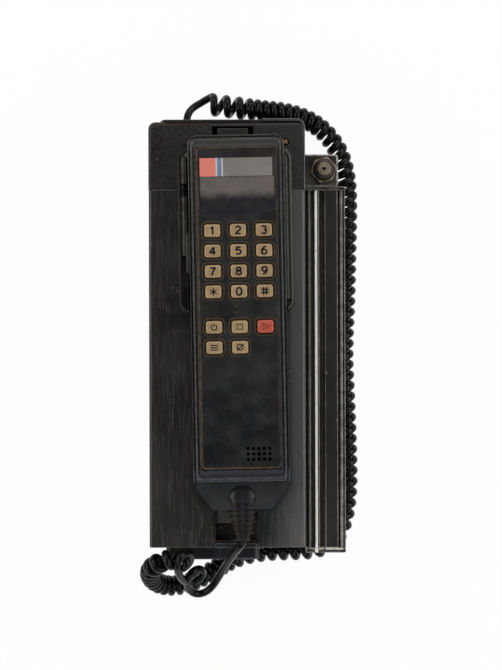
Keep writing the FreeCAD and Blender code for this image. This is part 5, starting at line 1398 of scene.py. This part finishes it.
@dataclass
class KeyMark:
    """The dark print on a key: a numeral, a star or a hash, or a plain sign."""

    x: float
    y: float
    top: float
    stroke: float = 1.05
    raise_by: float = 0.06

    def draw(self, name: str) -> Piece:
        """Make the mark of a key.

        Args:
            name: the key's name.

        Returns:
            The mark's object.
        """
        sign = name.split("_")[1]
        pile = Pile()
        size, wide = ((4.95, 4.5), 1.0) if sign.isdigit() else (1.0, 0.8 if sign == "hash" else 0.62)
        for points, closed in self.strokes(sign):
            self.ribbon(pile, np.array(points, float) * size, closed, self.stroke * wide)
        return pile.build(f"{name}_print", CRADLE_SEAT)

    def bow(self, x: float, y: float, wide: float, high: float, start: float = 0.0,
            stop: float = 345.0, count: int = 14) -> Points:
        """Work out points on an oval about (x, y), between two angles in degrees."""
        angle = np.radians(np.linspace(start, stop, count))
        return np.column_stack([x + wide * np.cos(angle), y + high * np.sin(angle)])

    def strokes(self, sign: str) -> list[tuple[Points | list, bool]]:
        """Return a sign's strokes, and whether each is closed; a numeral's cell is one unit high."""
        six = [(self.bow(0.0, -0.2, 0.28, 0.29, count=20), True),
               ([(0.22, 0.46), (0.0, 0.4), (-0.18, 0.22), (-0.27, -0.02), (-0.28, -0.2)], False)]
        return {
            "0": [(self.bow(0, 0, 0.29, 0.48, count=24), True)],
            "1": [([(-0.2, 0.26), (-0.04, 0.34), (0.06, 0.5), (0.06, 0.4), (0.06, -0.5)], False)],
            "2": [([*self.bow(0, 0.22, 0.27, 0.27, 165, -30), (-0.1, -0.22), (-0.29, -0.48)], False),
                  ([(-0.3, -0.44), (0.0, -0.44), (0.32, -0.44)], False)],
            "3": [(self.bow(-0.01, 0.23, 0.25, 0.25, 150, -85), False),
                  (self.bow(0, -0.22, 0.29, 0.27, 85, -150), False)],
            "4": [([(0.14, -0.5), (0.14, 0.0), (0.14, 0.5)], False),
                  ([(0.14, 0.46), (-0.1, 0.14), (-0.32, -0.2)], False),
                  ([(-0.34, -0.2), (0.0, -0.2), (0.36, -0.2)], False)],
            "5": [([(0.28, 0.44), (0.0, 0.44), (-0.22, 0.44)], False),
                  ([(-0.19, 0.46), (-0.22, 0.2), (-0.26, 0.0)], False),
                  (self.bow(0, -0.17, 0.29, 0.29, 145, -150), False)],
            "6": six,
            "7": [([(-0.3, 0.44), (0.0, 0.44), (0.32, 0.44)], False),
                  ([(0.29, 0.46), (0.06, 0.1), (-0.06, -0.2), (-0.1, -0.5)], False)],
            "8": [(self.bow(0, 0.24, 0.23, 0.23), True), (self.bow(0, -0.21, 0.28, 0.27, count=18), True)],
            "9": [(-np.array(points), closed) for points, closed in six],
            "star": [(self.bow(0, 0, 2.3, 2.3, turn, turn + 180, 2), False) for turn in (90, 150, 210)],
            "hash": [([(-2.1, move), (2.1, move)], False) for move in (-0.85, 0.85)]
                    + [([(move, -2.2), (move, 2.2)], False) for move in (-0.85, 0.85)],
            "power": [(self.bow(0, 0, 1.6, 1.6, 125, 415, 17), False),
                      ([(0, 0.2), (0, 1.1), (0, 2.1)], False)],
            "end": [([(-1.5, -1.4), (1.5, -1.4), (1.5, 1.4), (-1.5, 1.4)], True)],
            "send": [([(-1.6, -1.6), (1.9, 0.0), (-1.6, 1.6)], True)],
            "function": [([(-2.1, level), (0, level), (2.1, level)], False) for level in (-1.3, 0.0, 1.3)],
            "mute": [(self.bow(0, 0, 1.7, 1.7, count=24), True),
                     ([(-1.9, -1.9), (0, 0), (1.9, 1.9)], False)],
        }[sign]

    def ribbon(self, pile: Pile, points: Points, closed: bool, wide: float) -> None:
        """Lay a flat band of a stroke's width along a line of points."""
        ahead = np.roll(points, -1, 0) - np.roll(points, 1, 0) if closed else np.gradient(points, axis=0)
        ahead /= np.linalg.norm(ahead, axis=1, keepdims=True)
        across = np.array([1, 1, -1, -1]) * wide / 2
        level = self.top + self.raise_by * np.array([-1, 1, 1, -1])
        x = self.x + points[:, :1] - ahead[:, 1:] * across
        y = self.y + points[:, 1:] + ahead[:, :1] * across
        pile.loft(x, y, level, (closed, True))


# ---------------------------------------------------------------- cord

@dataclass
class CurlyCord:
    """One wire: a lead out of the case, a long coil round the set, and a lead into the boot."""

    shop: Workshop
    wire: float = 2.3
    winds: Moves = ((0.0, 4.95), (0.035, 4.95), (0.06, 4.3), (0.1, 4.15), (1.0, 4.15))
    turn_points: int = 18
    length: float = 2.43
    exit: Triple = (-37.1, 130.7, 14.0)
    case_lead: Corners = (
        (-37.1, 130.7, 14.0), (-37.1, 136.2, 13.8), (-35.4, 141.0, 12.8), (-32.2, 144.2, 10.6),
        (-29.2, 146.2, 8.0), (-26.6, 148.1, 6.0), (-24.4, 149.5, 5.0), (-22.7, 150.3, 5.6),
        (-21.5, 150.8, 7.1), (-20.8, 150.6, 8.9),
    )
    coil: Corners = (
        (-21.5, 145.6, 8.2), (-11.7, 144.4, 7.9), (0.7, 142.8, 7.5), (13.0, 142.0, 6.8),
        (25.3, 140.6, 6.5), (35.8, 137.2, 6.5), (45.0, 131.6, 6.5), (52.7, 123.3, 6.5),
        (58.2, 112.8, 6.5), (61.1, 99.8, 6.5), (61.8, 83.2, 6.5), (61.1, 56.1, 6.5),
        (60.4, 25.2, 6.5), (58.7, -6.8, 6.5), (60.1, -36.4, 6.5), (61.1, -64.2, 6.5),
        (61.5, -85.8, 6.5), (60.3, -102.4, 6.5), (57.6, -114.1, 6.5), (52.6, -122.9, 6.5),
        (43.6, -127.8, 6.5), (29.8, -129.0, 6.5), (13.4, -129.1, 6.5), (-0.8, -131.1, 6.5),
        (-12.5, -135.5, 6.5), (-23.0, -142.2, 6.5), (-34.1, -148.1, 6.5), (-44.6, -150.8, 6.7),
        (-52.6, -149.7, 11.0), (-57.6, -146.0, 18.8), (-59.4, -141.3, 28.0), (-58.6, -137.0, 37.6),
        (-55.8, -133.4, 46.4), (-51.2, -130.4, 52.8), (-45.2, -128.6, 55.8), (-39.4, -129.8, 54.8),
        (-35.3, -133.2, 49.8), (-33.2, -137.6, 42.8), (-32.3, -141.8, 35.2), (-32.2, -145.6, 27.6),
    )
    tail: Corners = (
        (-40.9, -134.9, 51.8), (-41.2, -135.5, 49.3), (-40.6, -135.9, 46.6), (-38.6, -135.4, 44.7),
        (-35.9, -133.3, 45.0), (-33.8, -129.2, 48.5), (-34.7, -125.8, 54.0),
        (-37.2, -124.9, 59.0), (-39.9, -126.9, 61.5), (-41.8, -131.3, 59.5), (-41.7, -136.4, 54.0),
        (-39.9, -141.1, 47.0), (-37.3, -144.4, 40.0), (-34.2, -145.7, 33.5), (-30.8, -144.3, 30.5),
        (-27.8, -141.4, 31.0), (-26.9, -138.3, 34.5), (-28.8, -136.2, 39.5), (-31.7, -136.3, 43.0),
        (-34.4, -138.6, 44.0), (-36.4, -142.2, 42.0), (-36.9, -146.4, 37.5), (-35.3, -150.4, 32.5),
        (-32.2, -152.7, 29.5), (-28.5, -152.8, 28.5), (-24.9, -151.2, 29.0), (-21.4, -147.7, 31.0),
        (-18.1, -142.3, 35.5), (-14.8, -136.1, 42.0), (-11.4, -130.2, 50.4), (-7.8, -124.2, 59.2),
        (-4.6, -119.8, 65.4), (-2.9, -117.0, 67.4), (-2.85, -112.5, 67.5),
    )
    pitches: Moves = ((0.0, 8.4), (0.02, 8.2), (0.038, 6.8), (0.055, 4.7), (0.125, 4.6), (0.14, 5.85),
                      (0.21, 5.85), (0.235, 6.55), (0.57, 6.55), (0.62, 7.25), (0.725, 7.2), (0.745, 4.85),
                      (0.865, 4.85), (0.885, 7.5), (0.93, 8.5), (1.0, 8.5))
    leans: Moves = ((0.0, 0.19), (0.04, 0.15), (0.055, 0.0), (0.125, 0.0), (0.16, -0.22), (0.6, -0.22),
                    (0.7, -0.1), (0.75, 0.0), (0.87, 0.0), (0.9, 0.17), (1.0, 0.17))
    tilts: Moves = ((0.0, 0.0), (0.08, 0.0), (0.13, 0.3), (0.22, 0.3), (0.3, 0.08), (0.6, 0.05),
                    (0.66, 0.0), (1.0, 0.0))
    first_phase: float = -60.0
    coil_end: float = 0.945
    fine_step: float = 0.2

    def build(self) -> None:
        """Build the wire and its grommet."""
        points = np.vstack([self.case_lead, self.wound(), self.tail])
        piece = self.spline("curly_cord", points, 2)
        piece.data.bevel_depth = self.wire * MM
        piece.data.bevel_resolution = 4
        piece.data.use_fill_caps = True
        self.shop.settle(piece, Finishes.CORD, "case", "cord_rubber", "cord_lead_case", "cord_coil",
                         "cord_lead_handset")
        self.shop.soften("cord_grommet", Finishes.RUBBER, "rubber", 0.5)
        steps = np.linalg.norm(np.diff(points, axis=0), axis=1)
        LOG.info("the wire is about %.2f m long", steps.sum() * MM)

    @staticmethod
    def spline(name: str, points: Points, runs: int) -> Piece:
        """Make a curve whose one smooth spline has these points as its controls."""
        data = bpy.data.curves.new(name, "CURVE")
        data.dimensions = "3D"
        data.resolution_u = runs
        line = data.splines.new("NURBS")
        line.points.add(len(points) - 1)
        spots = np.column_stack([np.array(points) * MM, np.ones(len(points))])
        line.points.foreach_set("co", spots.ravel())
        line.order_u = 3
        line.use_endpoint_u = True
        return linked(name, data)

    def axis(self) -> Points:
        """Read evenly spaced points from the coil's own smooth spline."""
        source = self.spline("coil_route", self.coil, 24)
        mesh = bpy.data.meshes.new_from_object(source)
        points = np.zeros(len(mesh.vertices) * 3)
        mesh.vertices.foreach_get("co", points)
        bpy.data.objects.remove(source)
        bpy.data.meshes.remove(mesh)
        points = points.reshape(-1, 3) / MM
        gone = np.concatenate([[0.0], np.cumsum(np.linalg.norm(np.diff(points, axis=0), axis=1))])
        marks = np.linspace(0, gone[-1], int(gone[-1] / self.fine_step) + 1)
        return np.column_stack([np.interp(marks, gone, points[:, part]) for part in range(3)])

    def wound(self) -> Points:
        """Work out the points of the winding.

        A point is the route's point, plus the winding radius times the cosine of the phase upwards
        and the sine sideways, less the lean times the sine and plus the tilt times the cosine along
        the route.  The phase grows by a turn in each pitch, and ends on the outer side.
        """
        axis = self.axis()
        ahead = np.gradient(axis, axis=0)
        ahead /= np.linalg.norm(ahead, axis=1, keepdims=True)
        up = np.array([0.0, 0.0, 1.0]) - ahead[:, 2:] * ahead
        up /= np.linalg.norm(up, axis=1, keepdims=True)
        share = np.linspace(0, 1, len(axis))
        gone = np.cumsum(self.fine_step / np.interp(share, *zip(*self.pitches)))
        first = self.first_phase / 360
        stop = np.interp(self.coil_end, share, gone)
        whole = round(stop + first - 0.25) + 0.25 - first
        phase = first + gone * whole / stop
        wanted = np.arange(first, first + whole, 1 / self.turn_points)
        pick = np.interp(wanted, phase, np.arange(len(axis)))
        lean, wind, tilt = (np.interp(share, *zip(*pairs))[:, None]
                            for pairs in (self.leans, self.winds, self.tilts))
        side = np.cross(ahead, up) - ahead * lean
        up = up + ahead * tilt
        rows = np.hstack([axis, up * wind, side * wind])
        rows = np.column_stack([np.interp(pick, np.arange(len(axis)), column) for column in rows.T])
        middle, up, side = np.split(rows, 3, axis=1)
        turn = (wanted * FULL_TURN)[:, None]
        return middle + np.cos(turn) * up + np.sin(turn) * side


# ---------------------------------------------------------------- studio

@dataclass
class Studio:
    """Camera, lamps and a pale floor."""

    image_rows: int = 670
    focal_rows: float = 1935.6
    height: float = 1.2
    over: Pair = (0.00209, 0.0038)
    roll: float = -0.003
    sky: float = 0.1

    def build(self) -> None:
        """Set up the camera, the lamps, the world and the floor."""
        scene = bpy.context.scene
        scene.view_settings.view_transform = "Standard"
        self.camera(scene)
        self.lamp("left", (-0.95, 0.0, 0.8), (0.5, 1.3), 8.6, (1.0, 0.96, 0.9))
        self.lamp("right", (0.95, 0.0, 0.8), (0.5, 1.3), 8.6, (0.9, 0.95, 1.0))
        self.lamp("top", (0.0, 1.1, 0.8), (1.2, 0.4), 6.5, (1.0, 0.99, 0.97))
        self.lamp("foot", (0.0, -1.1, 0.8), (1.2, 0.4), 3.0, (0.8, 0.89, 1.0))
        self.world(scene)
        self.floor()

    def camera(self, scene: bpy.types.Scene) -> None:
        """Hang the camera over the set, looking straight down."""
        data = bpy.data.cameras.new("camera")
        data.sensor_fit = "VERTICAL"
        data.sensor_height = 24.0
        data.lens = data.sensor_height * self.focal_rows / self.image_rows
        data.clip_start = 0.01
        camera = linked("camera", data)
        camera.location = (*self.over, self.height)
        camera.rotation_euler = (0.0, 0.0, self.roll)
        scene.camera = camera

    def lamp(self, name: str, place: Triple, size: Pair, power: float,
             colour: Triple) -> None:
        """Hang a soft rectangular lamp that faces the set."""
        data = bpy.data.lights.new(f"lamp_{name}", "AREA")
        data.shape = "RECTANGLE"
        data.size, data.size_y = size
        data.energy = power
        data.color = colour
        lamp = linked(f"lamp_{name}", data)
        lamp.location = place
        x, y, z = place
        turn = math.atan2(math.hypot(x, y), z)
        lamp.rotation_euler = (-turn * float(np.sign(y)), turn * float(np.sign(x)), 0.0)

    def world(self, scene: bpy.types.Scene) -> None:
        """Fill the surroundings with an even soft grey."""
        world = bpy.data.worlds.new("world")
        scene.world = world
        world.use_nodes = True
        background = world.node_tree.nodes["Background"]
        background.inputs["Color"].default_value = (1.0, 1.0, 1.0, 1.0)
        background.inputs["Strength"].default_value = self.sky

    def floor(self) -> None:
        """Lay a pale floor that shows white to the camera and keeps a soft shadow."""
        reach = np.array([-8000.0, 8000.0])
        floor = Pile().loft(reach, reach[:, None], 0.0, (False, False)).build("floor")
        made = bpy.data.materials.new("pale_floor")
        graph = Graph.of(made)
        plain = graph.add("BsdfDiffuse", (0.94, 0.94, 0.94, 1.0))
        glow = graph.add("Emission", (1.0, 1.0, 1.0, 1.0), 1.0)
        seen = graph.add("LightPath").outputs
        direct = graph.most(*(seen[f"Is {way} Ray"] for way in ("Camera", "Glossy", "Transmission")))
        mixed = graph.add("MixShader", graph.times(direct, 0.95), plain.outputs[0], glow.outputs[0])
        graph.add("OutputMaterial", mixed.outputs[0])
        floor.data.materials.append(made)


def main() -> None:
    """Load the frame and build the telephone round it."""
    logging.basicConfig(level=logging.INFO, format="%(message)s")
    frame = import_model()
    Studio().build()
    shop = Workshop(frame["nodes"])
    for part in (CurlyCord(shop), Case(shop), HeatSink(shop), Cradle(shop), Handset(shop)):
        part.build()
        LOG.info("built the %s", type(part).__name__)


if __name__ == "__main__":
    main()
